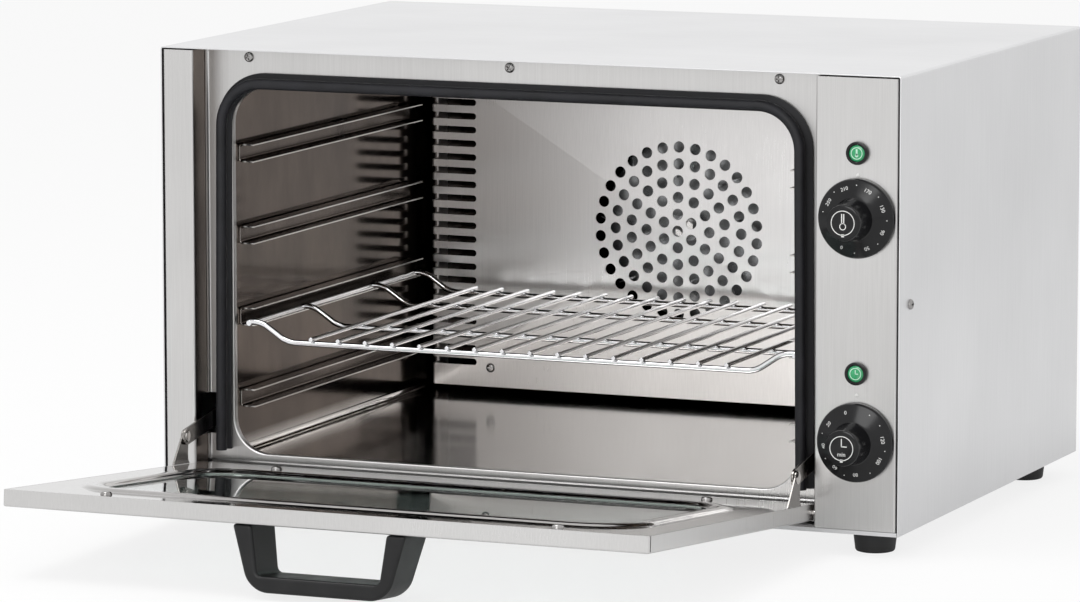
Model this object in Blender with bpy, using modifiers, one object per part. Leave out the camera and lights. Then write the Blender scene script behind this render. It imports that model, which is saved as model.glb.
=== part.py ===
# Small countertop convection oven: sheet-steel casing, drop-down glass door on hooked stay
# arms, four pairs of tray rails, wire rack, perforated fan baffle and two control knobs.
# Metres, +X right, +Y to the back, +Z up. The origin lies on the table, under the middle of
# the whole object as it stands with its door open. Every piece is placed from the casing
# datum: the middle of the casing's width, its front face and its underside.

import math

import bmesh
import bpy
from mathutils import Matrix, Vector

# General
SHEET = 0.001  # steel sheet
GAP = 0.0003  # what touching pieces keep between them
OVERRUN = 0.004  # how far a cutter reaches past what it cuts
HALF_SHARE = 0.5  # each side of a middle
Z_AXIS = Vector((0, 0, 1))

# Casing
CASING_WIDTH = 0.600
CASING_DEPTH = 0.424
CASING_HEIGHT = 0.340
POST_WIDTH = 0.027
PANEL_WIDTH = 0.066
RECESS_DEPTH = 0.024  # from the front face back to the door frame
TRAY_FLANGE = 0.003
PANEL_TOP_ROOM = 0.0006
CASING_BEND = 0.0015

# Cavity and its opening
OPENING_BORDER = 0.0222  # door frame on each side of the opening
OPENING_HEAD = 0.0308  # door frame above the opening
OPENING_SILL = 0.025
OPENING_RADIUS = 0.028
CORNER_STEPS = 6
LIP_DEPTH = 0.004
CAVITY_REAR_ROOM = 0.022  # back wall of the cavity to the back of the casing
CAVITY_BEND = 0.006

# Door gasket
GASKET_RADIUS = 0.027
GASKET_SPLAY = 0.0022  # how far each lower end strays outwards
GASKET_WIDTH = 0.0120
GASKET_BASE = 0.004
GASKET_NECK = 0.0040
GASKET_END = 0.0280
BULB_RADIUS = 0.0042
BULB_OFFSET = 0.0046  # middle of the bulb from the edge of the opening
BULB_STEPS = 8

# Rails and rack
RAIL_COUNT = 4
RAIL_HEIGHT = 0.0140
RAIL_REACH = 0.0125
RAIL_FIRST = 0.0410  # middle of the lowest rail above the sill
RAIL_PITCH = 0.0634
RAIL_FRONT = 0.0110  # front end behind the frame
RAIL_BEND = 0.0020
RAIL_BACK_ROOM = 0.010  # rear end to the baffle
RACK_LEVEL = 2  # the third rail from the top carries the rack
RACK_ROD = 0.0023  # radius of the frame rods
RACK_BAR = 0.0018  # radius of the bars
RACK_BAR_COUNT = 16
RACK_BAR_MARGIN = 0.0216  # outermost bar to where the deck bends up
RACK_BAR_TIP = 0.0045  # how far a bar reaches past the front rod
RACK_SIDE_PLAY = 0.0050  # side rod to the web of the rail, each side
RACK_SHIFT = 0.0040  # the rack lies this far to the right
RACK_DROP = 0.0145  # deck below the side rods
RACK_SHELF = 0.0100  # flat of a cross rod before it bends down
RACK_SLOPE = 0.0218
RACK_WELD = 0.0006  # how deep welded rods sink into each other
RACK_FRONT = 0.0045  # front rod behind the frame
RACK_BACK_ROOM = 0.0280  # rear rod to the tip of the baffle
RACK_ROD_SHARES = (0, 0.305, 0.729, 1)  # cross rods, shares of the way from first to last
RACK_BEND_SHARE = 0.25  # share of the slope that each bend rounds off

# Fan baffle
BAFFLE_ROOM = 0.030  # face of the baffle to the back wall
BAFFLE_SIDE_ROOM = 0.0143
BAFFLE_FLOOR_ROOM = 0.0070
BAFFLE_TOP_ROOM = 0.0100
BAFFLE_BULGE = 0.0060
FAN_HEIGHT = 0.1680
HOLE_RINGS = 5
HOLES_PER_RING = 6
RING_PITCH = 0.0136
HOLE_RADIUS = 0.0046
HOLE_SIDES = 7
SLOT_COUNT = 21
SLOT_FIRST = 0.0504
SLOT_PITCH = 0.01125
SLOT_HEIGHT = 0.0054
SLOT_REACH = 0.0395
SLOT_WRAP = 0.0100
SLOT_END_SIDES = 8

# Fan, motor and heating element
IMPELLER_RADIUS = 0.075
IMPELLER_DEPTH = 0.018
IMPELLER_DISC = 0.0012
IMPELLER_CLEARANCE = 0.004  # to the back wall
BLADE_COUNT = 8
BLADE_LENGTH = 0.034
BLADE_ANGLE = math.radians(25)
HUB_RADIUS = 0.011
HUB_DEPTH = 0.012
SHAFT_RADIUS = 0.004
SHAFT_END = 0.003  # shaft past the hub, inside the nut
NUT_RADIUS = 0.0085
NUT_HEIGHT = 0.005
ELEMENT_RADIUS = 0.095
ELEMENT_TUBE = 0.0035
ELEMENT_GAP = math.radians(18)  # between the two legs of the ring
ELEMENT_STEPS = 30
ELEMENT_TAIL = 0.010
BOSS_RADIUS = 0.0035
BOSS_LENGTH = 0.006
STACK_WIDTH = 0.064
STACK_ABOVE = 0.027
STACK_BELOW = 0.051
STACK_DEPTH = 0.020
STACK_LIMB = 0.011
WINDOW_WIDTH = 0.032
WINDOW_HEIGHT = 0.018
ROTOR_RADIUS = 0.0155
COIL_WRAP = 0.009
SHAFT_TAIL = 0.008

# Rear wall and motor cover
MOTOR_COVER_WIDTH = 0.150
MOTOR_COVER_HEIGHT = 0.160
MOTOR_COVER_DEPTH = 0.028
MOTOR_HOLE_MARGIN = 0.012
COVER_DROP = 0.012  # middle of the cover below the shaft
COVER_FLANGE = 0.012
VENT_ROWS = 7
VENT_PITCH = 0.016
VENT_WIDTH = 0.100
VENT_HEIGHT = 0.004
SIDE_VENT_ROWS = 6
SIDE_VENT_WIDTH = 0.070
SIDE_VENT_INSET = 0.105  # middle of a row from the side of the casing
SIDE_VENT_HEIGHT = 0.260
GLAND_INSET = 0.052  # from the side of the casing
GLAND_HEIGHT = 0.045
GLAND_RADIUS = 0.0105
GLAND_BORE = 0.004
GLAND_REACH = 0.018
GLAND_NECK = 0.008

# Door
DOOR_THICKNESS = 0.0125
DOOR_SIDE_ROOM = 0.0024
DOOR_TOP_ROOM = 0.0012
DOOR_OPEN = math.radians(84.8)
DOOR_BEND = 0.0012
HINGE_Y = 0.0032
HINGE_Z = 0.0135
HINGE_BELOW = 0.0048  # door below its hinge line
PIN_RADIUS = 0.0018
PIN_END = 0.0020  # pin past the outside of the wall
PIN_REACH = 0.0060
WINDOW_SIDE = 0.0557  # from the side of the door to the glass
WINDOW_LOW = 0.0780
WINDOW_TOP = 0.0520
WINDOW_RADIUS = 0.0300
BEAD_WIDTH = 0.0200
BEAD_CREST = 0.0100
BEAD_HEIGHT = 0.0024
GLASS_THICKNESS = 0.003
GLASS_MARGIN = 0.010

# Handle
HANDLE_X = -0.0012  # middle of the handle from the middle of the door
HANDLE_BASE_WIDTH = 0.1350
HANDLE_GRIP_WIDTH = 0.1080
HANDLE_HEIGHT = 0.0480
HANDLE_GRIP = 0.0120
HANDLE_LEG = 0.0145
HANDLE_INSIDE = 0.0950
HANDLE_INSIDE_CORNER = 0.003
HANDLE_DEPTH = 0.0410
HANDLE_GRIP_DEPTH = 0.0380
HANDLE_TOP_ROOM = 0.0015  # from the free edge of the door
HANDLE_CORNER = 0.014
HANDLE_ROUND = 0.0025
HANDLE_STEPS = 5

# Stay arms
BRACKET_SHEET = 0.0014
BRACKET_INSET = 0.0004  # from the side of the door
BRACKET_BASE = 0.0220
BRACKET_LEAN = 0.0190  # end of the foot of the ear past the rivet
BRACKET_HEAD = 0.0055
RIVET_ALONG = 0.0315  # rivet from the hinge line, along the door
RIVET_ABOVE = 0.0215  # rivet above the inner face of the door
RIVET_RADIUS = 0.0030
RIVET_HEAD_RADIUS = 0.0048
RIVET_HEAD = 0.0010
ARM_SHEET = 0.0018
ARM_HEIGHT = 0.0132
ARM_LENGTH = 0.118
ARM_PITCH = math.radians(9.2)
NOTCH_WIDTH = 0.0090
NOTCH_LOW = 0.0392
NOTCH_HIGH = 0.0710
NOTCH_FRONT = 0.0100
HOOK_LENGTH = 0.0070  # the hook that stops the arm against its stud
HOOK_DROP = 0.0050
STUD_RADIUS = 0.0040
GUIDE_PLATE_LOW = 0.030
GUIDE_PLATE_HIGH = 0.072
GUIDE_PLATE_LENGTH = 0.100
GUIDE_PLATE_X = 0.0055  # plate outside the wall of the cavity

# Control panel
KNOB_RADIUS = 0.0295
KNOB_RIM = 0.0030
KNOB_HEIGHT = 0.0310
KNOB_BOSS = 0.0135
KNOB_BOSS_FOOT = 0.0150
KNOB_SHOULDER = 0.0085
KNOB_EDGE = 0.0015
KNOB_LIFT = 0.0010
KNOB_BORE_DEPTH = 0.0140
KNOB_STEPS = 28
SPINDLE_RADIUS = 0.0030
SPINDLE_HOLE = 0.0050
CONTROL_SIZE = 0.042
CONTROL_DEPTH = 0.030
THERMOSTAT_HEIGHT = 0.2348
TIMER_HEIGHT = 0.0690
HEAT_LAMP_ABOVE = 0.0479  # lamp above the middle of its knob
TIMER_LAMP_ABOVE = 0.0510
LAMP_RADIUS = 0.0086
LAMP_LIFT = 0.0036
LAMP_LENS = 0.0062
LAMP_BODY = 0.0060
LAMP_DEPTH = 0.022
PROBE_BULB = 0.0030
PROBE_WIRE = 0.0010
PROBE_LENGTH = 0.075
PROBE_BACK_ROOM = 0.010
TERMINAL_WIDTH = 0.044
TERMINAL_DEPTH = 0.022
TERMINAL_HEIGHT = 0.020

# Insulation and feet
BLANKET = 0.012
BLANKET_LOW = 0.095
BLANKET_FRONT = 0.010  # behind the frame
BLANKET_BACK = 0.022  # in front of the cavity's back
FOOT_HEIGHT = 0.017
FOOT_TOP_RADIUS = 0.0165
FOOT_BASE_RADIUS = 0.0150
FOOT_INSET = 0.0295
FOOT_FRONT = 0.033
FOOT_REAR_ROOM = 0.042
FOOT_EDGE = 0.0020
FOOT_STEPS = 20

# Sizes that follow from the ones above
RECESS_LEFT = POST_WIDTH - HALF_SHARE * CASING_WIDTH
RECESS_RIGHT = HALF_SHARE * CASING_WIDTH - PANEL_WIDTH
RECESS_X = HALF_SHARE * (RECESS_LEFT + RECESS_RIGHT)
COVER_UNDERSIDE = CASING_HEIGHT - SHEET
OPENING_WIDTH = RECESS_RIGHT - RECESS_LEFT - 2 * OPENING_BORDER
OPENING_HEIGHT = COVER_UNDERSIDE - OPENING_SILL - OPENING_HEAD
CAVITY_BACK = CASING_DEPTH - CAVITY_REAR_ROOM
GLAND_X = HALF_SHARE * CASING_WIDTH - GLAND_INSET
OPENING_TOP = OPENING_SILL + OPENING_HEIGHT
OPENING_Z = OPENING_SILL + HALF_SHARE * OPENING_HEIGHT
FRAME_BACK = RECESS_DEPTH + SHEET
CAVITY_HALF = HALF_SHARE * OPENING_WIDTH + SHEET + GAP  # inner face of a side wall
CAVITY_FLOOR = OPENING_SILL - SHEET - GAP
CAVITY_TOP = OPENING_TOP + SHEET + GAP
BAFFLE_Y = CAVITY_BACK - BAFFLE_ROOM
BAFFLE_HALF = CAVITY_HALF - BAFFLE_SIDE_ROOM
BAFFLE_LOW = CAVITY_FLOOR + BAFFLE_FLOOR_ROOM
BAFFLE_HIGH = CAVITY_TOP - BAFFLE_TOP_ROOM
DOOR_WIDTH = RECESS_RIGHT - RECESS_LEFT - 2 * DOOR_SIDE_ROOM
DOOR_REACH = COVER_UNDERSIDE - DOOR_TOP_ROOM - HINGE_Z  # hinge line to the free edge
DOOR_INNER = HALF_SHARE * DOOR_THICKNESS  # inner face from the hinge line, door shut
PANEL_X = HALF_SHARE * CASING_WIDTH - HALF_SHARE * PANEL_WIDTH
HEAT_LAMP_HEIGHT = THERMOSTAT_HEIGHT + HEAT_LAMP_ABOVE
TIMER_LAMP_HEIGHT = TIMER_HEIGHT + TIMER_LAMP_ABOVE
REAR_REACH = CASING_DEPTH + MOTOR_COVER_DEPTH


def clear_scene():
    for old in list(bpy.data.objects):
        bpy.data.objects.remove(old, do_unlink=True)


def new_collection(name):
    made = bpy.data.collections.new(name)
    bpy.context.scene.collection.children.link(made)
    return made


clear_scene()
parts = new_collection("convection_oven")
cutters = new_collection("cutters")


def finish(name, colour, roughness, metallic):
    made = bpy.data.materials.new(name)
    made.use_nodes = True
    shader = made.node_tree.nodes["Principled BSDF"]
    shader.inputs["Base Color"].default_value = (*colour, 1)
    shader.inputs["Roughness"].default_value = roughness
    shader.inputs["Metallic"].default_value = metallic
    return made


brushed = finish("brushed_steel", (0.62, 0.62, 0.63), 0.32, 1)
bright = finish("bright_steel", (0.66, 0.65, 0.64), 0.18, 1)
lining = finish("cavity_steel", (0.46, 0.44, 0.43), 0.22, 1)
chrome = finish("chrome_wire", (0.75, 0.75, 0.76), 0.12, 1)
rubber = finish("silicone_rubber", (0.02, 0.02, 0.022), 0.55, 0)
plastic = finish("black_plastic", (0.013, 0.013, 0.014), 0.25, 0)
grip = finish("satin_plastic", (0.02, 0.02, 0.02), 0.45, 0)
glass = finish("door_glass", (0.30, 0.32, 0.32), 0.05, 0)
lens = finish("green_lens", (0.012, 0.35, 0.14), 0.15, 0)
copper = finish("copper_winding", (0.55, 0.22, 0.08), 0.4, 1)
wool = finish("mineral_wool", (0.60, 0.56, 0.42), 0.95, 0)
moulded = finish("white_moulding", (0.75, 0.74, 0.70), 0.5, 0)

datum = bpy.data.objects.new("casing_datum", None)
datum.location = (0, 0, FOOT_HEIGHT)
parts.objects.link(datum)


def empty(name, location, parent, turn=0):
    """A joint's axis, or any other place that pieces hang from; it may turn about X."""
    made = bpy.data.objects.new(name, None)
    made.location = location
    made.rotation_euler = (turn, 0, 0)
    made.parent = parent
    parts.objects.link(made)
    return made


def place(name, data, look, parent, location=(0, 0, 0), rotation=(0, 0, 0)):
    made = bpy.data.objects.new(name, data)
    made.location = location
    made.rotation_euler = rotation
    made.parent = parent
    if look is None:
        made.hide_render = True
        made.display_type = "WIRE"
        cutters.objects.link(made)
    else:
        data.materials.append(look)
        parts.objects.link(made)
    return made


def mesh_from(name, bm):
    bmesh.ops.recalc_face_normals(bm, faces=bm.faces)
    data = bpy.data.meshes.new(name)
    bm.to_mesh(data)
    bm.free()
    return data


def smooth(obj, angle=math.radians(35)):
    obj.data.shade_smooth()
    obj.data.set_sharp_from_angle(angle=angle)
    return obj


def box(name, low, high, look, parent):
    low, high = Vector(low), Vector(high)
    bm = bmesh.new()
    bmesh.ops.create_cube(bm, size=1)
    bmesh.ops.scale(bm, vec=high - low, verts=bm.verts)
    return place(name, mesh_from(name, bm), look, parent, (low + high) * HALF_SHARE)


def add_box(bm, low, high, move=None):
    low, high = Vector(low), Vector(high)
    matrix = Matrix.Translation((low + high) * HALF_SHARE) @ Matrix.Diagonal((*(high - low), 1))
    bmesh.ops.create_cube(bm, size=1, matrix=move @ matrix if move else matrix)


def add_cylinder(bm, start, end, radius, sides):
    start, end = Vector(start), Vector(end)
    turn = Z_AXIS.rotation_difference(end - start).to_matrix().to_4x4()
    bmesh.ops.create_cone(
        bm,
        cap_ends=True,
        segments=sides,
        radius1=radius,
        radius2=radius,
        depth=(end - start).length,
        matrix=Matrix.Translation((start + end) * HALF_SHARE) @ turn,
    )


def cylinder(name, start, end, radius, sides, look, parent):
    bm = bmesh.new()
    add_cylinder(bm, start, end, radius, sides)
    return place(name, mesh_from(name, bm), look, parent)


def turned(name, profile, steps, look, parent, location, rotation=(0, 0, 0)):
    """A profile of (radius, height) points, from top to bottom, spun about Z."""
    bm = bmesh.new()
    line = [bm.verts.new((radius, 0, height)) for radius, height in profile]
    for upper, lower in zip(line, line[1:]):
        bm.edges.new((upper, lower))
    data = bpy.data.meshes.new(name)
    bm.to_mesh(data)
    bm.free()
    made = place(name, data, look, parent, location, rotation)
    screw = made.modifiers.new("spin", "SCREW")
    screw.steps = screw.render_steps = steps
    screw.use_merge_vertices = True
    screw.merge_threshold = 0.00001
    screw.use_smooth_shade = True
    return made


def flat_outline(name, outlines, thickness, look, parent, location=(0, 0, 0), rotation=(0, 0, 0)):
    """Closed outlines in XY, filled with their holes and given a thickness about z = 0."""
    curve = bpy.data.curves.new(name, "CURVE")
    curve.dimensions = "2D"
    curve.fill_mode = "BOTH"
    curve.extrude = HALF_SHARE * thickness
    for points in outlines:
        spline = curve.splines.new("POLY")
        spline.points.add(len(points) - 1)
        spline.points.foreach_set("co", [n for x, y in points for n in (x, y, 0, 1)])
        spline.use_cyclic_u = True
    return as_mesh(name, curve, look, parent, location, rotation)


def as_mesh(name, curve, look, parent, location, rotation):
    """The mesh that a curve makes, with its caps welded to its sides."""
    guide = bpy.data.objects.new(name + "_guide", curve)
    bpy.context.scene.collection.objects.link(guide)
    graph = bpy.context.evaluated_depsgraph_get()
    raw = bpy.data.meshes.new_from_object(guide.evaluated_get(graph))
    bm = bmesh.new()
    bm.from_mesh(raw)
    bmesh.ops.remove_doubles(bm, verts=bm.verts, dist=0.00001)
    bpy.data.objects.remove(guide)
    return place(name, mesh_from(name, bm), look, parent, location, rotation)


def rod(name, points, radius, look, parent, radii=None, resolution=2):
    """A wire or tube through points, with filled ends; radii gives each point a share."""
    curve = bpy.data.curves.new(name, "CURVE")
    curve.dimensions = "3D"
    curve.bevel_depth = radius
    curve.bevel_resolution = resolution
    curve.use_fill_caps = True
    spline = curve.splines.new("POLY")
    spline.points.add(len(points) - 1)
    for point, co in zip(spline.points, points):
        point.co = (*co, 1)
    for point, share in zip(spline.points, radii or ()):
        point.radius = share
    return as_mesh(name, curve, look, parent, (0, 0, 0), (0, 0, 0))


def swept(name, path, section, closed, look, parent, location=(0, 0, 0), rotation=(0, 0, 0)):
    """A closed section carried along a path that lies in XY; section x is the path's side."""
    curve = bpy.data.curves.new(name, "CURVE")
    curve.dimensions = "3D"
    curve.twist_mode = "Z_UP"
    curve.bevel_mode = "OBJECT"
    curve.use_fill_caps = not closed
    shape = bpy.data.curves.new(name + "_section", "CURVE")
    shape.dimensions = "2D"
    shape.fill_mode = "NONE"
    for data, points, cyclic in ((curve, path, closed), (shape, section, True)):
        spline = data.splines.new("POLY")
        spline.points.add(len(points) - 1)
        spline.points.foreach_set("co", [n for x, y in points for n in (x, y, 0, 1)])
        spline.use_cyclic_u = cyclic
    profile = bpy.data.objects.new(name + "_section", shape)
    profile.hide_render = True
    profile.display_type = "WIRE"
    cutters.objects.link(profile)
    curve.bevel_object = profile
    return as_mesh(name, curve, look, parent, location, rotation)


def folded_sheet(name, path, start, end, thickness, look, parent, bend=0, rotation=(0, 0, 0)):
    """Sheet metal: an open path in XY, drawn out along Z, bent at its corners."""
    bm = bmesh.new()
    line = [bm.verts.new((x, y, start)) for x, y in path]
    edges = [bm.edges.new(pair) for pair in zip(line, line[1:])]
    grown = bmesh.ops.extrude_edge_only(bm, edges=edges)["geom"]
    ends = [item for item in grown if isinstance(item, bmesh.types.BMVert)]
    bmesh.ops.translate(bm, vec=(0, 0, end - start), verts=ends)
    made = place(name, mesh_from(name, bm), look, parent, rotation=rotation)
    if bend:
        fold = made.modifiers.new("bends", "BEVEL")
        fold.width = bend
        fold.segments = 2
        fold.limit_method = "ANGLE"
    wall = made.modifiers.new("sheet", "SOLIDIFY")
    wall.thickness = thickness
    wall.offset = 0
    wall.use_even_offset = True
    return made


def rounded_rectangle(width, height, radius, x=0, y=0, steps=CORNER_STEPS):
    points = []
    for quarter, (side, up) in enumerate(((1, 1), (-1, 1), (-1, -1), (1, -1))):
        middle_x = x + side * (HALF_SHARE * width - radius)
        middle_y = y + up * (HALF_SHARE * height - radius)
        for step in range(steps + 1):
            turn = (quarter + step / steps) * math.pi / 2
            points.append(
                (middle_x + radius * math.cos(turn), middle_y + radius * math.sin(turn))
            )
    return points


def circle(radius, sides, x=0, y=0):
    turns = [2 * math.pi * step / sides for step in range(sides)]
    return [(x + radius * math.cos(turn), y + radius * math.sin(turn)) for turn in turns]


def rectangle(left, low, right, high):
    return [(left, low), (right, low), (right, high), (left, high)]


def boolean(obj, other, operation="DIFFERENCE"):
    step = obj.modifiers.new(operation.lower(), "BOOLEAN")
    step.operation = operation
    step.solver = "EXACT"
    step.object = other
    return obj


def cut_with(obj, name, fill, parent=datum):
    """Cuts obj with one cutter that fill(bm) makes from separate closed shapes."""
    bm = bmesh.new()
    fill(bm)
    return boolean(obj, place(name, mesh_from(name, bm), None, parent))


def rounded(obj, width, segments=2, angle=math.radians(40)):
    edge = obj.modifiers.new("rounding", "BEVEL")
    edge.width = width
    edge.segments = segments
    edge.limit_method = "ANGLE"
    edge.angle_limit = angle
    return obj


STAND = (math.radians(90), 0, 0)  # turns XY outlines upright: y becomes height, z faces -Y
SIDES = (("left", -1), ("right", 1))


def make_casing():
    half = HALF_SHARE * (CASING_WIDTH - SHEET)
    middle = CASING_HEIGHT - HALF_SHARE * SHEET
    path = [(-half, 0), (-half, middle), (half, middle), (half, 0)]
    folded_sheet(
        "casing_cover", path, -CASING_DEPTH, 0, SHEET, brushed, datum, CASING_BEND, STAND
    )
    inner = HALF_SHARE * CASING_WIDTH - SHEET - GAP
    front = HALF_SHARE * SHEET
    bm = bmesh.new()
    low, high = Vector((-inner, 0, 0)), Vector((inner, CASING_DEPTH - SHEET - GAP, TRAY_FLANGE))
    add_box(bm, low, high)
    top = max(bm.faces, key=lambda face: face.calc_center_median().z)
    bmesh.ops.delete(bm, geom=[top], context="FACES")
    tray = place("base_tray", mesh_from("base_tray", bm), brushed, datum)
    wall = tray.modifiers.new("sheet", "SOLIDIFY")
    wall.thickness = SHEET
    wall.offset = -1
    wall.use_even_offset = True
    low = TRAY_FLANGE + GAP
    high = COVER_UNDERSIDE - PANEL_TOP_ROOM
    edge = HALF_SHARE * (CASING_WIDTH - SHEET) - SHEET - GAP
    depth = RECESS_DEPTH - GAP
    for name, side, wall_x in (
        ("left_post", -1, RECESS_LEFT - HALF_SHARE * SHEET),
        ("control_panel", 1, RECESS_RIGHT + HALF_SHARE * SHEET),
    ):
        flange, wall = (side * edge, RECESS_DEPTH), (wall_x, depth)
        path = [flange, (side * edge, front), (wall_x, front), wall]
        folded_sheet(name, path, low, high, SHEET, brushed, datum, CASING_BEND * HALF_SHARE)


def notch_cut(bm, side):
    """The way for a stay arm, out of the recess's side and through the frame."""
    wall = RECESS_X + side * HALF_SHARE * (RECESS_RIGHT - RECESS_LEFT)
    inner = wall - side * NOTCH_WIDTH
    outer = wall + side * (SHEET + OVERRUN)
    left, right = min(inner, outer), max(inner, outer)
    add_box(bm, (left, NOTCH_FRONT, NOTCH_LOW), (right, FRAME_BACK + OVERRUN, NOTCH_HIGH))


def hinge_hole(bm, side):
    wall = RECESS_X + side * HALF_SHARE * (RECESS_RIGHT - RECESS_LEFT)
    start = (wall + side * (SHEET + OVERRUN), HINGE_Y, HINGE_Z)
    end = (wall - side * OVERRUN, HINGE_Y, HINGE_Z)
    add_cylinder(bm, start, end, PIN_RADIUS + GAP, 10)


def cut_front():
    def left_holes(bm):
        notch_cut(bm, -1)
        hinge_hole(bm, -1)

    def right_holes(bm):
        notch_cut(bm, 1)
        hinge_hole(bm, 1)
        for height in (THERMOSTAT_HEIGHT, TIMER_HEIGHT):
            add_cylinder(
                bm, (PANEL_X, -OVERRUN, height), (PANEL_X, OVERRUN, height), SPINDLE_HOLE, 12
            )
        for height in (HEAT_LAMP_HEIGHT, TIMER_LAMP_HEIGHT):
            add_cylinder(
                bm, (PANEL_X, -OVERRUN, height), (PANEL_X, OVERRUN, height), LAMP_BODY + GAP, 12
            )

    cut_with(bpy.data.objects["left_post"], "left_post_holes", left_holes)
    cut_with(bpy.data.objects["control_panel"], "control_panel_holes", right_holes)


def make_front_frame():
    low, high = TRAY_FLANGE, COVER_UNDERSIDE - GAP
    plate = [
        rectangle(RECESS_LEFT + GAP, low, RECESS_RIGHT - GAP, high),
        rounded_rectangle(OPENING_WIDTH, OPENING_HEIGHT, OPENING_RADIUS, RECESS_X, OPENING_Z),
    ]
    frame = flat_outline(
        "front_frame", plate, SHEET, bright, datum, (0, RECESS_DEPTH + HALF_SHARE * SHEET, 0), STAND
    )
    outer = rounded_rectangle(
        OPENING_WIDTH + 2 * SHEET,
        OPENING_HEIGHT + 2 * SHEET,
        OPENING_RADIUS + SHEET,
        RECESS_X,
        OPENING_Z,
    )
    lip_depth = LIP_DEPTH + HALF_SHARE * SHEET
    lip = flat_outline(
        "front_frame_lip",
        [outer, plate[1]],
        lip_depth,
        None,
        datum,
        (0, RECESS_DEPTH + HALF_SHARE * SHEET + HALF_SHARE * lip_depth, 0),
        STAND,
    )
    boolean(frame, lip, "UNION")

    def notches(bm):
        for _, side in SIDES:
            notch_cut(bm, side)

    cut_with(frame, "front_frame_notches", notches)


def gasket_section():
    """Foot, neck and bulb; x runs out from the opening and y towards the door."""
    proud = RECESS_DEPTH - GAP - HINGE_Y - DOOR_INNER - GAP
    crown = proud - BULB_RADIUS
    half_neck = HALF_SHARE * GASKET_NECK
    open_turn = math.asin(half_neck / BULB_RADIUS)
    start, end = math.pi * 1.5 + open_turn, math.pi * 3.5 - open_turn
    points = [(0, 0), (GASKET_WIDTH, 0), (GASKET_WIDTH, HALF_SHARE * GASKET_BASE)]
    points.append((BULB_OFFSET + half_neck, GASKET_BASE))
    for step in range(BULB_STEPS + 1):
        turn = start + (end - start) * step / BULB_STEPS
        points.append(
            (BULB_OFFSET + BULB_RADIUS * math.cos(turn), crown + BULB_RADIUS * math.sin(turn))
        )
    points.append((BULB_OFFSET - half_neck, GASKET_BASE))
    points.append((0, HALF_SHARE * GASKET_BASE))
    return points


def make_gasket():
    half = HALF_SHARE * OPENING_WIDTH
    path = [(RECESS_X - half - GASKET_SPLAY, GASKET_END)]
    for quarter, side in ((1, -1), (0, 1)):
        middle_x = RECESS_X + side * (half - GASKET_RADIUS)
        middle_z = OPENING_TOP - GASKET_RADIUS
        for step in range(CORNER_STEPS + 1):
            turn = (quarter + 1 - step / CORNER_STEPS) * math.pi / 2
            path.append(
                (
                    middle_x + GASKET_RADIUS * math.cos(turn),
                    middle_z + GASKET_RADIUS * math.sin(turn),
                )
            )
    path.append((RECESS_X + half + GASKET_SPLAY, GASKET_END))
    section = [(-x, y) for x, y in gasket_section()]
    swept(
        "door_gasket", path, section, False, rubber, datum, (0, RECESS_DEPTH - GAP, 0), STAND
    )


def make_liner():
    bm = bmesh.new()
    front = FRAME_BACK + GAP
    low = (RECESS_X - CAVITY_HALF, front, CAVITY_FLOOR)
    add_box(bm, low, (RECESS_X + CAVITY_HALF, CAVITY_BACK, CAVITY_TOP))
    mouth = min(bm.faces, key=lambda face: face.calc_center_median().y)
    bmesh.ops.delete(bm, geom=[mouth], context="FACES")
    bends = [edge for edge in bm.edges if not edge.is_boundary]
    bmesh.ops.bevel(bm, geom=bends, offset=CAVITY_BEND, segments=2, affect="EDGES", profile=HALF_SHARE)
    liner = place("cavity_liner", mesh_from("cavity_liner", bm), lining, datum)
    wall = liner.modifiers.new("sheet", "SOLIDIFY")
    wall.thickness = SHEET
    wall.offset = 1
    wall.use_even_offset = True

    def holes(bm):
        back, past = CAVITY_BACK - OVERRUN, CAVITY_BACK + SHEET + OVERRUN
        radius = SHAFT_RADIUS + SHEET
        add_cylinder(bm, (RECESS_X, back, FAN_HEIGHT), (RECESS_X, past, FAN_HEIGHT), radius, 12)
        for x, z in element_legs():
            add_cylinder(bm, (x, back, z), (x, past, z), ELEMENT_TUBE + GAP, 10)
        wall_x = RECESS_X + CAVITY_HALF
        y, z = CAVITY_BACK - PROBE_BACK_ROOM, THERMOSTAT_HEIGHT
        add_cylinder(
            bm, (wall_x - OVERRUN, y, z), (wall_x + SHEET + OVERRUN, y, z), PROBE_WIRE + GAP, 8
        )

    cut_with(liner, "cavity_liner_holes", holes)


def rail_height(level):
    return OPENING_SILL + RAIL_FIRST + (RAIL_COUNT - level) * RAIL_PITCH


def make_rails():
    start, end = FRAME_BACK + RAIL_FRONT, BAFFLE_Y - BAFFLE_BULGE - RAIL_BACK_ROOM
    for name, side in SIDES:
        web = RECESS_X + side * (CAVITY_HALF - GAP - HALF_SHARE * SHEET)
        tip = web - side * (RAIL_REACH - HALF_SHARE * SHEET)
        for level in range(1, RAIL_COUNT + 1):
            middle = rail_height(level)
            low = middle - HALF_SHARE * (RAIL_HEIGHT - SHEET)
            high = middle + HALF_SHARE * (RAIL_HEIGHT - SHEET)
            path = [(tip, low), (web, low), (web, high), (tip, high)]
            folded_sheet(
                f"rail_{name}_{level}", path, -end, -start, SHEET, lining, datum, RAIL_BEND, STAND
            )


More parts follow.
